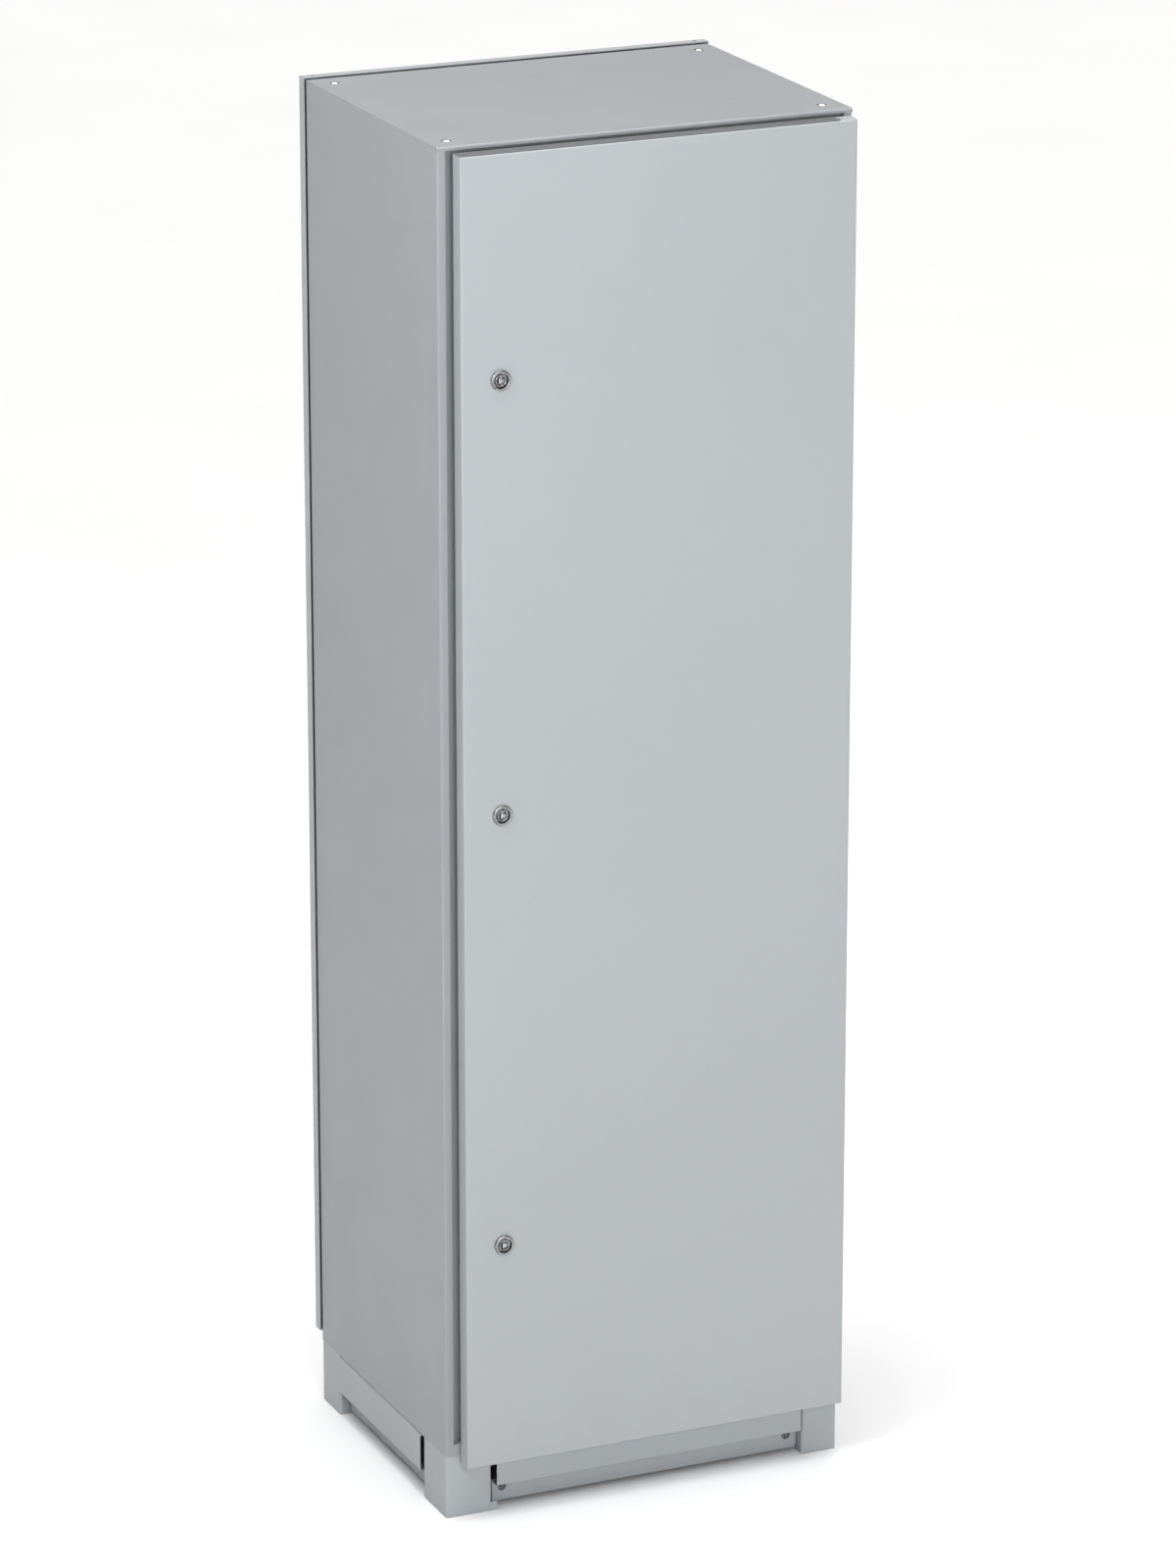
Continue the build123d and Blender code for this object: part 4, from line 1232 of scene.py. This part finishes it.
@dataclass
class Fixings:
    """All screws and nuts of the cabinet and the door."""

    rows: list[FixingRow] = field(
        default_factory=lambda: [
            FixingRow("rear_panel_screws", Facing.REAR, 3 * MM, 2.9 * MM, 11),
            FixingRow("gland_screws", Facing.UP, 3 * MM, 2.9 * MM, 12),
            FixingRow("hinge_bracket_screws", Facing.FRONT, 3 * MM, 2.9 * MM, 13),
            FixingRow("keeper_screws", Facing.RIGHT, 3 * MM, 2.9 * MM, 14),
            FixingRow("plinth_bolts", Facing.UP, 7 * MM, 6.0 * MM, 15),
            FixingRow("plate_bolts", Facing.FRONT, 2.0 * MM, 3.9 * MM, 16),
            FixingRow("rear_panel_nuts", Facing.FRONT, 0.0, 3.3 * MM, 17),
            FixingRow("plate_nuts", Facing.REAR, 0.0, 4.3 * MM, 18),
            FixingRow("plinth_nuts", Facing.DOWN, 0.0, 6.5 * MM, 19),
            FixingRow("hinge_leaf_nuts", Facing.REAR, 0.0, 3.3 * MM, 20, "door"),
            FixingRow("lock_nuts", Facing.REAR, 0.0, 12.9 * MM, 21, "door"),
        ]
    )
    rail_screw_rise: float = 3 * MM
    rail_screw_shank: float = 2.9 * MM
    cam_screw_rise: float = 3 * MM
    cam_screw_shank: float = 2.8 * MM
    cam_screw_length: float = 11 * MM

    def build(self, tree: GeometryTree) -> None:
        """Build every row.

        Args:
            tree: the tree that sets templates on points.
        """
        for row in self.rows:
            self.build_row(tree, row)
        self.build_rail_screws(tree)
        for place in LOCK_PLACES:
            self.build_cam_screw(place)

    def build_row(self, tree: GeometryTree, row: FixingRow) -> None:
        """Set one row's template on its points and dress the result.

        Args:
            tree: the tree that sets templates on points.
            row: what to build.
        """
        slot = packed_slot(row.node)
        mesh = self.spread(tree, row.template(), row.facing, row.seed, slot, row.points())
        dressed(row.node.replace("_", "-"), mesh, row.body, slot, [row.node])

    def spread(
        self,
        tree: GeometryTree,
        template: bmesh.types.BMesh,
        facing: Facing,
        seed: int,
        slot: str,
        points: bpy.types.Mesh,
    ) -> bpy.types.Mesh:
        """Copies of a template on points.

        Args:
            tree: the tree that sets templates on points.
            template: one screw or nut, pointing up.
            facing: the way that the copies point.
            seed: start of the random turns.
            slot: the slot whose finish they get.
            points: the seats.

        Returns:
            One plain mesh.
        """
        pattern = shown("pattern", as_mesh(template, "pattern"))
        values = {
            "Template": pattern,
            "Facing": facing.turn().to_euler(),
            "Twist": TURN,
            "Seed": seed,
            "Material": FINISH_OF_SLOT[slot].material(),
        }
        mesh = tree.run("fixings", points, values)
        bpy.data.objects.remove(pattern)
        return mesh

    def build_rail_screws(self, tree: GeometryTree) -> None:
        """Screws that hold the plate brackets, whose heads face the middle on both sides.

        Args:
            tree: the tree that sets templates on points.
        """
        node = "bracket_screws"
        slot = packed_slot(node)
        shapes = []
        for facing in (Facing.RIGHT, Facing.LEFT):
            spots = []
            for low, high in solid_boxes(node):
                spot = (low + high) / 2
                if spot.x * facing.sign > 0:
                    continue
                end = high.x if facing is Facing.RIGHT else low.x
                spot.x = end - facing.sign * self.rail_screw_rise
                spots.append(spot)
                length = (high - low).x
            mesh = bpy.data.meshes.new("seats")
            mesh.from_pydata(spots, [], [])
            head = (high - low).z / 2
            template = button_screw(
                head, self.rail_screw_rise, self.rail_screw_shank, length - self.rail_screw_rise
            )
            shape = bmesh.new()
            shape.from_mesh(self.spread(tree, template, facing, 31 + facing.sign, slot, mesh))
            shapes.append(shape)
        mesh = as_mesh(joined(shapes), node)
        dressed("bracket-screws", mesh, "cabinet", slot, [node])

    def build_cam_screw(self, place: str) -> None:
        """Screw on the end of one lock's cam.

        Args:
            place: which lock.
        """
        node = f"lock_cam_screw_{place}"
        low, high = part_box(node)
        seat = (low + high) / 2
        seat.y = high.y - self.cam_screw_rise
        screw = button_screw(
            (high - low).x / 2, self.cam_screw_rise, self.cam_screw_shank, self.cam_screw_length
        )
        mesh = as_mesh(screw, node, Matrix.Translation(seat) @ Facing.REAR.turn())
        dressed(f"cam-screw-{place}", mesh, f"lock_{place}", packed_slot(node), [node])


# ------------------------------------------------------------------ locks
@dataclass
class QuarterTurnLock:
    """One quarter-turn lock: a notched ring in the door and a turning core with a key post.

    Attributes:
        place: top, middle or bottom.
        notches: how many small cuts mark the ring's edge.
        notch_start: angle of the first from the right, upwards.
        notch_step: angle from one to the next.
        notch_width: angle that each takes.
        notch_depth: how deep each is.
        rim: width of the ring's rounded edge.
        mouth: radius of the deep hollow between ring and core.
        mouth_depth: how deep that hollow is.
        barrel: radius of the threaded barrel.
        core_gap: play between core and ring.
        well_depth: depth of the hollow round the key post.
        well_wall: wall of the core round that hollow.
        post_radius: distance of the three-sided post's corners from its middle.
        square: width of the core's square end, which carries the cam.
        steps: vertices round the turned pieces.
    """

    place: str
    notches: int = 3
    notch_start: float = math.radians(186)
    notch_step: float = math.radians(17)
    notch_width: float = math.radians(7)
    notch_depth: float = 1.3 * MM
    rim: float = 2.2 * MM
    mouth: float = 11.3 * MM
    mouth_depth: float = 8.0 * MM
    barrel: float = 12.5 * MM
    core_gap: float = 0.12 * MM
    well_depth: float = 7.5 * MM
    well_wall: float = 1.4 * MM
    post_radius: float = 5.1 * MM
    square: float = 8.0 * MM
    steps: int = 156

    def build(self) -> None:
        """Build the ring and the core."""
        self.build_ring()
        self.build_core()

    def build_ring(self) -> None:
        """Ring with a raised notched flange, a mouth and a threaded barrel."""
        node = f"lock_housing_{self.place}"
        low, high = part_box(node)
        core_low, core_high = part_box(f"lock_core_{self.place}")
        door_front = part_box("door_panel")[0].y
        outer = (high - low).x / 2
        face = door_front - low.y
        back = door_front - high.y
        bore = (core_high - core_low).x / 2 + self.core_gap
        mouth, barrel = self.mouth, self.barrel
        floor = face - self.mouth_depth
        outline = [
            (bore, back),
            (bore, floor - 0.3 * MM),
            (bore + 0.3 * MM, floor),
            (mouth - 0.5 * MM, floor),
            (mouth, floor + 0.3 * MM),
            (mouth, face - 0.5 * MM),
            (mouth + 0.15 * MM, face - 0.15 * MM),
            (mouth + 0.5 * MM, face),
            (outer - self.rim, face),
            (outer - 0.62 * self.rim, face - 0.08 * MM),
            (outer - 0.32 * self.rim, face - 0.45 * MM),
            (outer - 0.1 * self.rim, face - 1.1 * MM),
            (outer - 0.02 * self.rim, face - 1.9 * MM),
            (outer, 0.5 * MM),
            (outer - 0.1 * MM, 0.0),
            (barrel, 0.0),
        ]
        slope = range(9, 13)
        outline += threads(barrel, -2.5 * MM, back + 1.0 * MM, 1.5 * MM, 0.5 * MM)
        outline.append((barrel - 0.8 * MM, back))

        def notched(index: int, radius: float, height: float, angle: float) -> tuple[float, float]:
            """Cuts on the sloping edge of the flange.

            Args:
                index: number of the outline's point.
                radius: its radius.
                height: its height.
                angle: where round the piece it is.

            Returns:
                The new radius and height.
            """
            number, past = divmod(angle - self.notch_start, self.notch_step)
            cut = 0 <= number < self.notches and past < self.notch_width
            if index in slope and cut:
                return radius - self.notch_depth, height - self.notch_depth
            return radius, height

        centre = Vector(((low.x + high.x) / 2, door_front, (low.z + high.z) / 2))
        place = Matrix.Translation(centre) @ Facing.FRONT.turn()
        mesh = as_mesh(turned(outline, self.steps, notched), node, place, 28.0)
        dressed(f"lock-ring-{self.place}", mesh, "door", packed_slot(node), [node])

    def build_core(self) -> None:
        """Core with a deep hollow, a three-sided post for the key and a square end."""
        node = f"lock_core_{self.place}"
        low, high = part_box(node)
        radius = (high - low).x / 2
        cam_low, cam_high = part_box(f"lock_cam_{self.place}")
        shoulder = low.y - cam_low.y
        end = low.y - cam_high.y
        well = radius - self.well_wall
        cup = turned(
            [
                (0.0, -self.well_depth),
                (well - 0.6 * MM, -self.well_depth),
                (well, -self.well_depth + 0.6 * MM),
                (well, -0.4 * MM),
                (well + 0.4 * MM, 0.0),
                (radius - 0.35 * MM, 0.0),
                (radius, -0.35 * MM),
                (radius, shoulder),
                (0.0, shoulder),
            ],
            72,
        )
        post = prism(
            polygon_outline(3, self.post_radius, 0.0, 0.16),
            -self.well_depth - 0.2 * MM,
            0.0,
            0.45 * MM,
        )
        square = prism(
            polygon_outline(4, self.square / math.sqrt(2), math.radians(45), 0.06),
            end,
            shoulder + 0.2 * MM,
            0.0,
        )
        centre = Vector(((low.x + high.x) / 2, low.y, (low.z + high.z) / 2))
        place = Matrix.Translation(centre) @ Facing.FRONT.turn()
        mesh = as_mesh(joined([cup, post, square]), node, place)
        dressed(f"lock-core-{self.place}", mesh, f"lock_{self.place}", packed_slot(node), [node])


# ------------------------------------------------------------------ seals
@dataclass
class Seals:
    """Rubber seals of the door, the rear panel and the cable entry.

    Attributes:
        door_bead: width of the door's seal.
        rear_bead: width of the rear panel's seal.
        corner: radius of the seals' corners.
        crown: power of their outline, lower for a flatter top.
        gland_width: width of the cable entry's seal.
        gland_crown: power of that seal's outline.
    """

    door_bead: float = 9 * MM
    rear_bead: float = 13 * MM
    corner: float = 22 * MM
    crown: float = 0.72
    gland_width: float = 20 * MM
    gland_crown: float = 0.35

    def build(self, tree: GeometryTree) -> None:
        """Build the three seals.

        Args:
            tree: the tree that runs a bead round a frame.
        """
        for node, facing, body, width, crown in (
            ("door_gasket", Facing.REAR, "door", self.door_bead, self.crown),
            ("rear_gasket", Facing.FRONT, "cabinet", self.rear_bead, self.crown),
            ("gland_gasket", Facing.UP, "cabinet", self.gland_width, self.gland_crown),
        ):
            self.build_ring(tree, node, facing, body, width, crown)

    def build_ring(
        self, tree: GeometryTree, node: str, facing: Facing, body: str, width: float, crown: float
    ) -> None:
        """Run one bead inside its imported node's box.

        Args:
            tree: the tree that runs a bead round a frame.
            node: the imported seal.
            facing: the way that the bead stands up.
            body: the body that it rides on.
            width: width of the bead.
            crown: power of its outline, lower for a flatter top.
        """
        low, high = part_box(node)
        size = high - low
        axis = facing.axis
        across, along = (size.x, size.y) if axis == 2 else (size.x, size.z)
        base = (low + high) / 2
        base[axis] = low[axis] if facing.sign > 0 else high[axis]
        corner = min(self.corner, 0.9 * width) if axis == 2 else self.corner
        values = {
            "Width": across - width,
            "Height": along - width,
            "Corner Radius": corner,
            "Bead Width": width,
            "Bead Height": size[axis],
            "Crown": crown,
            "Place": base,
            "Facing": facing.turn().to_euler(),
            "Material": SEAL_RUBBER.material(),
        }
        bead = tree.run(node, bpy.data.meshes.new("start"), values)
        mesh = as_mesh(welded(bead), node, crease=50.0)
        dressed(node.replace("gasket", "seal"), mesh, body, packed_slot(node), [node])


@dataclass
class DoorTopShadeStrip:
    """Dark grey strip laid along the top edge of the door, cut round the hanging hole: a painted
    shade that stands in for the shadow along that edge.

    Attributes:
        thickness: how far it stands over the door's top.
        edge: bare margin along the door's face.
        short_at_hinge: how much it stops short of the hinge side.
        hole_inset: distance of the hanging hole from the lock side.
        hole_radius: radius of the cut round that hole.
        hole_steps: corners of that cut.
        bevel: size of its softened edges.
    """

    thickness: float = 0.9 * MM
    edge: float = 2.2 * MM
    short_at_hinge: float = 27 * MM
    hole_inset: float = 18 * MM
    hole_radius: float = 4.6 * MM
    hole_steps: int = 40
    bevel: float = 0.2 * MM

    def build(self) -> None:
        """Cut the strip from a flat outline and lay it on the door."""
        low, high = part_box("door_panel")
        left, right = low.x + 0.6 * MM, high.x - self.short_at_hinge
        front, back = low.y + self.edge, high.y - 0.3 * MM
        curve = bpy.data.curves.new("strip", "CURVE")
        curve.dimensions = "2D"
        curve.fill_mode = "BOTH"
        curve.extrude = self.thickness / 2 - self.bevel
        curve.bevel_depth = self.bevel
        outline = [(left, front), (right, front), (right, back), (left, back)]
        hole_x, hole_y = low.x + self.hole_inset, (low.y + high.y) / 2
        circle = [
            (hole_x + x, hole_y + y)
            for x, y in polygon_outline(self.hole_steps, self.hole_radius)
        ]
        for points in (outline, circle):
            spline = curve.splines.new("POLY")
            spline.points.add(len(points) - 1)
            for point, (x, y) in zip(spline.points, points):
                point.co = (x, y, 0.0, 1.0)
            spline.use_cyclic_u = True
        shape = welded(evaluated_mesh(shown("strip", curve), "door_edge_strip"))
        lift = Matrix.Translation((0, 0, high.z + self.thickness / 2))
        # Painted shade: the dark strip covers the door's grey top flange to darken it like a
        # shadow.
        dressed("door-edge-strip", as_mesh(shape, "door_edge_strip", lift), "door", "plug_plastic")


# ------------------------------------------------------------------ lifting points and plugs
@dataclass
class LiftingThreads:
    """Threaded bosses under the four holes of the roof.

    Attributes:
        bore: radius of the thread's crests.
        lead: radius of the countersink at either end.
        lead_depth: how deep that is.
        pitch: distance between crests.
        thread_depth: depth of the thread.
        steps: vertices round a boss.
    """

    bore: float = 6.0 * MM
    lead: float = 7.3 * MM
    lead_depth: float = 1.0 * MM
    pitch: float = 1.75 * MM
    thread_depth: float = 0.9 * MM
    steps: int = 48

    def boss(self, across: float, height: float) -> bmesh.types.BMesh:
        """One boss with its top at the origin.

        Args:
            across: half the distance across its flats.
            height: height of the boss.

        Returns:
            The boss.
        """
        start, end = -height + self.lead_depth, -self.lead_depth
        inner = threads(self.bore, start, end, self.pitch, -self.thread_depth)
        outline = [(self.lead, -height), *inner, (self.lead, 0.0), (0.96 * across, 0.0)]
        sides = (len(outline), len(outline) + 1)
        outline += [(across, -0.05 * height), (across, -0.95 * height), (0.96 * across, -height)]

        def flats(index: int, radius: float, level: float, angle: float) -> tuple[float, float]:
            """Six flats outside, round inside."""
            return (hexagon_radius(radius, angle), level) if index in sides else (radius, level)

        return turned(outline, self.steps, flats)

    def build(self) -> None:
        """Build the four bosses as one piece."""
        node = "lifting_nuts"
        shapes = []
        for low, high in solid_boxes(node):
            size = high - low
            shape = self.boss(min(size.x, size.y) / 2, size.z)
            top = ((low.x + high.x) / 2, (low.y + high.y) / 2, high.z)
            shape.transform(Matrix.Translation(top))
            shapes.append(shape)
        mesh = as_mesh(joined(shapes), node)
        dressed("lifting-bosses", mesh, "cabinet", packed_slot(node), [node])


@dataclass
class PlinthPlugs:
    """Push-in plugs that hold the plinth covers, hollow at the front with a cross inside.

    Attributes:
        wall: thickness of the wall round the hollow.
        hollow: depth of the hollow.
        rib: thickness of the cross.
        steps: vertices round a plug.
    """

    wall: float = 0.9 * MM
    hollow: float = 6.5 * MM
    rib: float = 1.1 * MM
    steps: int = 36

    def plug(self, radius: float, length: float) -> bmesh.types.BMesh:
        """One plug with its front face at the origin, pointing up.

        Args:
            radius: radius of the collar behind the cover.
            length: whole length.

        Returns:
            The plug.
        """
        cup = radius * 0.66
        shell = turned(
            [
                (0.0, -self.hollow),
                (cup - self.wall, -self.hollow),
                (cup - self.wall, -0.3 * MM),
                (cup - 0.5 * self.wall, 0.0),
                (cup - 0.1 * self.wall, -0.1 * MM),
                (cup, -0.5 * MM),
                (cup, -1.6 * MM),
                (radius, -1.6 * MM),
                (radius - 0.4 * MM, -3.2 * MM),
                (0.5 * radius, -self.hollow - 1.2 * MM),
                (0.34 * radius, -self.hollow - 1.6 * MM),
                (0.40 * radius, -length + 4.0 * MM),
                (0.26 * radius, -length),
                (0.0, -length),
            ],
            self.steps,
        )
        reach = cup - 0.6 * self.wall
        half = self.rib / 2
        bars = [
            prism(
                [(-a, -b), (a, -b), (a, b), (-a, b)], -self.hollow - 0.1 * MM, -2.4 * MM, 0.0
            )
            for a, b in ((reach, half), (half, reach))
        ]
        return joined([shell, *bars])

    def build(self) -> None:
        """Build the eight plugs as one piece, each facing outwards."""
        node = "plinth_studs"
        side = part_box(node)[1].x
        shapes = []
        for low, high in solid_boxes(node):
            size = high - low
            middle = (low + high) / 2
            along_x = size.x > size.y and abs(abs(middle.x) - side) < size.x
            if along_x:
                facing = Facing.LEFT if middle.x < 0 else Facing.RIGHT
            else:
                facing = Facing.FRONT if middle.y < 0 else Facing.REAR
            front = middle.copy()
            front[facing.axis] = high[facing.axis] if facing.sign > 0 else low[facing.axis]
            shape = self.plug(size.z / 2, size[facing.axis])
            shape.transform(Matrix.Translation(front) @ facing.turn())
            shapes.append(shape)
        mesh = as_mesh(joined(shapes), node)
        dressed("plinth-plugs", mesh, "cabinet", packed_slot(node), [node])


# ------------------------------------------------------------------ document pocket
@dataclass
class DocumentPocket:
    """Moulded pocket for drawings on the inside of the door.

    Attributes:
        corner: plan radius of its front corners.
        wall: thickness of the plastic.
        finger: radius of the cut in the front's top edge.
        taper: how much shallower the bottom is than the top.
        rows: levels in the front wall.
        corner_steps: parts of each rounded corner.
        front_steps: parts of the front.
        ribs: raised grip ribs on the front.
        rib_size: length, rise and width of a rib.
        rib_pitch: distance between ribs.
        rib_start: height of the lowest rib over the pocket's bottom.
    """

    corner: float = 14 * MM
    wall: float = 2.2 * MM
    finger: float = 46 * MM
    taper: float = 5 * MM
    rows: int = 10
    corner_steps: int = 7
    front_steps: int = 48
    ribs: int = 7
    rib_size: tuple[float, float, float] = (210 * MM, 1.0 * MM, 3.2 * MM)
    rib_pitch: float = 14 * MM
    rib_start: float = 28 * MM

    def plan(self, low: Vector, high: Vector, depth: float) -> list[tuple[float, float]]:
        """Plan line of the wall at one level.

        Args:
            low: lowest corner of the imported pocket.
            high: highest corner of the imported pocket.
            depth: how far the front stands from the door.

        Returns:
            Points from the door's left round the front to the door's right.
        """
        front = low.y + depth - self.wall / 2
        left, right = low.x + self.wall / 2, high.x - self.wall / 2
        points = [(left, low.y + 0.2 * MM)]
        for step in range(self.corner_steps + 1):
            angle = math.pi / 2 * step / self.corner_steps
            x = left + self.corner * (1 - math.cos(angle))
            points.append((x, front - self.corner * (1 - math.sin(angle))))
        start, end = points[-1][0], right - (points[-1][0] - left)
        for step in range(1, self.front_steps):
            points.append((start + (end - start) * step / self.front_steps, front))
        mirrored = [(left + right - x, y) for x, y in reversed(points[: self.corner_steps + 2])]
        return points + mirrored

    def build(self, tree: GeometryTree) -> None:
        """Build the shell and its ribs.

        Args:
            tree: the tree that sets templates on points.
        """
        node = "document_pocket"
        low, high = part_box(node)
        shape = bmesh.new()
        full = high.y - low.y
        levels = []
        for row in range(self.rows + 1):
            share = row / self.rows
            depth = full - self.taper * (1 - share)
            level = []
            for x, y in self.plan(low, high, depth):
                top = high.z - 0.3 * MM
                cut = self.finger**2 - (x - (low.x + high.x) / 2) ** 2
                if cut > 0:
                    top -= 0.75 * math.sqrt(cut)
                z = low.z + self.wall / 2 + share * (top - low.z - self.wall / 2)
                level.append(shape.verts.new((x, y, z)))
            levels.append(level)
        for lower, upper in zip(levels, levels[1:]):
            for index in range(len(lower) - 1):
                shape.faces.new((lower[index], lower[index + 1], upper[index + 1], upper[index]))
        shape.faces.new(levels[0])
        bmesh.ops.recalc_face_normals(shape, faces=shape.faces)
        mesh = bpy.data.meshes.new("pocket")
        shape.to_mesh(mesh)
        shape.free()
        holder = shown("pocket", mesh)
        thick = holder.modifiers.new("wall", "SOLIDIFY")
        thick.thickness, thick.offset, thick.use_even_offset = self.wall, 0.0, True
        soft = holder.modifiers.new("soft", "BEVEL")
        soft.width, soft.segments, soft.angle_limit = 0.5 * MM, 2, math.radians(40)
        walls = bmesh.new()
        walls.from_mesh(evaluated_mesh(holder, "pocket"))
        ribs = bmesh.new()
        ribs.from_mesh(self.grip_ribs(tree, low, high))
        mesh = as_mesh(joined([walls, ribs]), node, crease=40.0)
        dressed("document-tray", mesh, "door", packed_slot(node), [node])

    def grip_ribs(self, tree: GeometryTree, low: Vector, high: Vector) -> bpy.types.Mesh:
        """Low rounded ribs across the front, set out by the tree.

        Args:
            tree: the tree that sets templates on points.
            low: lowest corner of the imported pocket.
            high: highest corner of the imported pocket.

        Returns:
            The ribs as one mesh.
        """
        length, rise, width = self.rib_size
        rib = bmesh.new()
        bmesh.ops.create_cube(rib, size=1.0, matrix=Matrix.Diagonal((length, 2 * rise, width, 1.0)))
        bmesh.ops.bevel(
            rib, geom=list(rib.edges), offset=0.42 * width, segments=3, profile=0.5, affect="EDGES",
            clamp_overlap=True,
        )
        pattern = shown("rib", as_mesh(rib, "rib"))
        spots = []
        for index in range(self.ribs):
            z = low.z + self.rib_start + index * self.rib_pitch
            share = (z - low.z) / (high.z - low.z)
            spots.append(((low.x + high.x) / 2, high.y - self.taper * (1 - share) - 0.4 * MM, z))
        points = bpy.data.meshes.new("rib_points")
        points.from_pydata(spots, [], [])
        values = {
            "Template": pattern,
            "Facing": Euler((0.0, 0.0, 0.0)),
            "Twist": 0.0,
            "Seed": 3,
            "Material": POCKET_PLASTIC.material(),
        }
        mesh = tree.run("ribs", points, values)
        bpy.data.objects.remove(pattern)
        return mesh


# ------------------------------------------------------------------ packed sheet metal
class SheetMetal:
    """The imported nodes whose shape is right: they get their finish and stay as they are."""

    def dress(self) -> None:
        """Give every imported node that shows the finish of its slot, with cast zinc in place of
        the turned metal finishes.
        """
        for name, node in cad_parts.items():
            if node.hide_render:
                continue
            slot = packed_slot(name)
            finish = FINISH_OF_SLOT[slot]
            if isinstance(finish, TurnedMetal):
                finish = CAST_ZINC
            node.data.materials[0] = finish.material()
            LOG.info("%s: %s", name, finish.name)


# ------------------------------------------------------------------ studio
@dataclass(frozen=True)
class SoftLight:
    """A large soft light.

    Attributes:
        name: its name.
        place: where it stands.
        aim: the point that it faces.
        size: width and height of its face.
        power: in watts.
        colour: its tint.
    """

    name: str
    place: tuple[float, float, float]
    aim: tuple[float, float, float]
    size: tuple[float, float]
    power: float
    colour: Colour = (1.0, 1.0, 1.0)

    def build(self) -> None:
        """Hang the light, hidden from the camera."""
        data = bpy.data.lights.new(self.name, "AREA")
        data.shape = "RECTANGLE"
        data.size, data.size_y = self.size
        data.energy = self.power
        data.color = self.colour
        lamp = shown(self.name, data)
        lamp.location = self.place
        way = Vector(self.aim) - Vector(self.place)
        lamp.rotation_euler = way.to_track_quat("-Z", "Y").to_euler()
        lamp.visible_camera = False


@dataclass
class Studio:
    """Pale floor, soft lights, pale surroundings and the camera.

    Attributes:
        floor_size: length and width of the floor.
        surround: tint of the surroundings.
        surround_levels: pairs of height, from the horizon at 0 to the zenith at 1, and strength.
        camera_place: where the camera stands.
        camera_yaw: how far it looks round to the right, in degrees.
        camera_pitch: how far it looks down, in degrees.
        lens: focal length in millimetres.
        sensor: width of the sensor in millimetres.
        lights: the soft lights.
    """

    floor_size: float = 120.0
    surround: Colour = (1.0, 0.992, 0.988)
    surround_levels: tuple[tuple[float, float], ...] = (
        (0.0, 0.20),
        (0.08, 0.05),
        (0.60, 0.07),
        (0.84, 0.30),
        (1.0, 6.2),
    )
    camera_place: tuple[float, float, float] = (-3.857, -8.748, 4.157)
    camera_yaw: float = 23.88
    camera_pitch: float = 18.03
    lens: float = 153.5
    sensor: float = 36.0
    lights: tuple[SoftLight, ...] = (
        SoftLight(
            "front_key", (-0.9, -5.6, 2.7), (0.0, -0.2, 1.0), (2.4, 2.4), 136.0, (0.965, 0.985, 1.0)
        ),
        SoftLight(
            "left_top", (-2.4, -1.4, 3.1), (-0.32, -0.1, 1.9), (0.9, 0.9), 33.0, (0.975, 0.99, 1.0)
        ),
        SoftLight(
            "overhead", (0.0, 0.2, 4.0), (0.0, 0.0, 2.1), (1.2, 1.2), 14.0, (1.0, 0.985, 0.97)
        ),
    )

    def build(self) -> None:
        """Build the whole set."""
        self.build_floor()
        self.build_surroundings()
        for light in self.lights:
            light.build()
        self.build_camera()
        bpy.context.scene.view_settings.view_transform = "Standard"

    def build_floor(self) -> None:
        """Lay one large floor just below the plinth."""
        shape = bmesh.new()
        bmesh.ops.create_grid(shape, x_segments=8, y_segments=8, size=self.floor_size / 2)
        mesh = as_mesh(shape, "studio_floor")
        mesh.materials.append(FLOOR.material())
        shown("studio_floor", mesh)

    def build_surroundings(self) -> None:
        """Light the set softly from all round, most from overhead, with a pale horizon."""
        world = bpy.data.worlds.new("surroundings")
        world.use_nodes = True
        book = NodeBook(world.node_tree)
        way = book.add("ShaderNodeTexCoord").outputs["Generated"]
        height = book.add("ShaderNodeSeparateXYZ", {"Vector": way}).outputs["Z"]
        level = book.add("ShaderNodeFloatCurve", {"Value": height})
        curve = level.mapping.curves[0]
        top = max(strength for _, strength in self.surround_levels)
        ends = (self.surround_levels[0], self.surround_levels[-1])
        for point, (where, strength) in zip(curve.points, ends):
            point.location = (where, strength / top)
        for where, strength in self.surround_levels[1:-1]:
            curve.points.new(where, strength / top)
        for point in curve.points:
            point.handle_type = "VECTOR"
        level.mapping.update()
        background = world.node_tree.nodes["Background"]
        background.inputs["Color"].default_value = (*self.surround, 1.0)
        strength = book.multiply(level.outputs[0], top)
        world.node_tree.links.new(strength, background.inputs["Strength"])
        bpy.context.scene.world = world

    def build_camera(self) -> None:
        """Set up the camera, level and looking down at the cabinet."""
        data = bpy.data.cameras.new("camera")
        data.lens = self.lens
        data.sensor_width = self.sensor
        data.clip_start, data.clip_end = 0.1, 300.0
        camera = shown("camera", data)
        camera.location = self.camera_place
        yaw, pitch = math.radians(self.camera_yaw), math.radians(self.camera_pitch)
        way = Vector(
            (math.sin(yaw) * math.cos(pitch), math.cos(yaw) * math.cos(pitch), -math.sin(pitch))
        )
        camera.rotation_euler = way.to_track_quat("-Z", "Y").to_euler()
        bpy.context.scene.camera = camera


def main() -> None:
    """Build the set, then every piece of the cabinet, in order."""
    logging.basicConfig(level=logging.INFO, format="%(name)s: %(message)s")
    Studio().build()
    on_points = fixing_tree()
    for place in LOCK_PLACES:
        QuarterTurnLock(place).build()
    Fixings().build(on_points)
    Seals().build(seal_tree())
    DoorTopShadeStrip().build()
    LiftingThreads().build()
    PlinthPlugs().build()
    DocumentPocket().build(on_points)
    SheetMetal().dress()


if __name__ == "__main__":
    main()
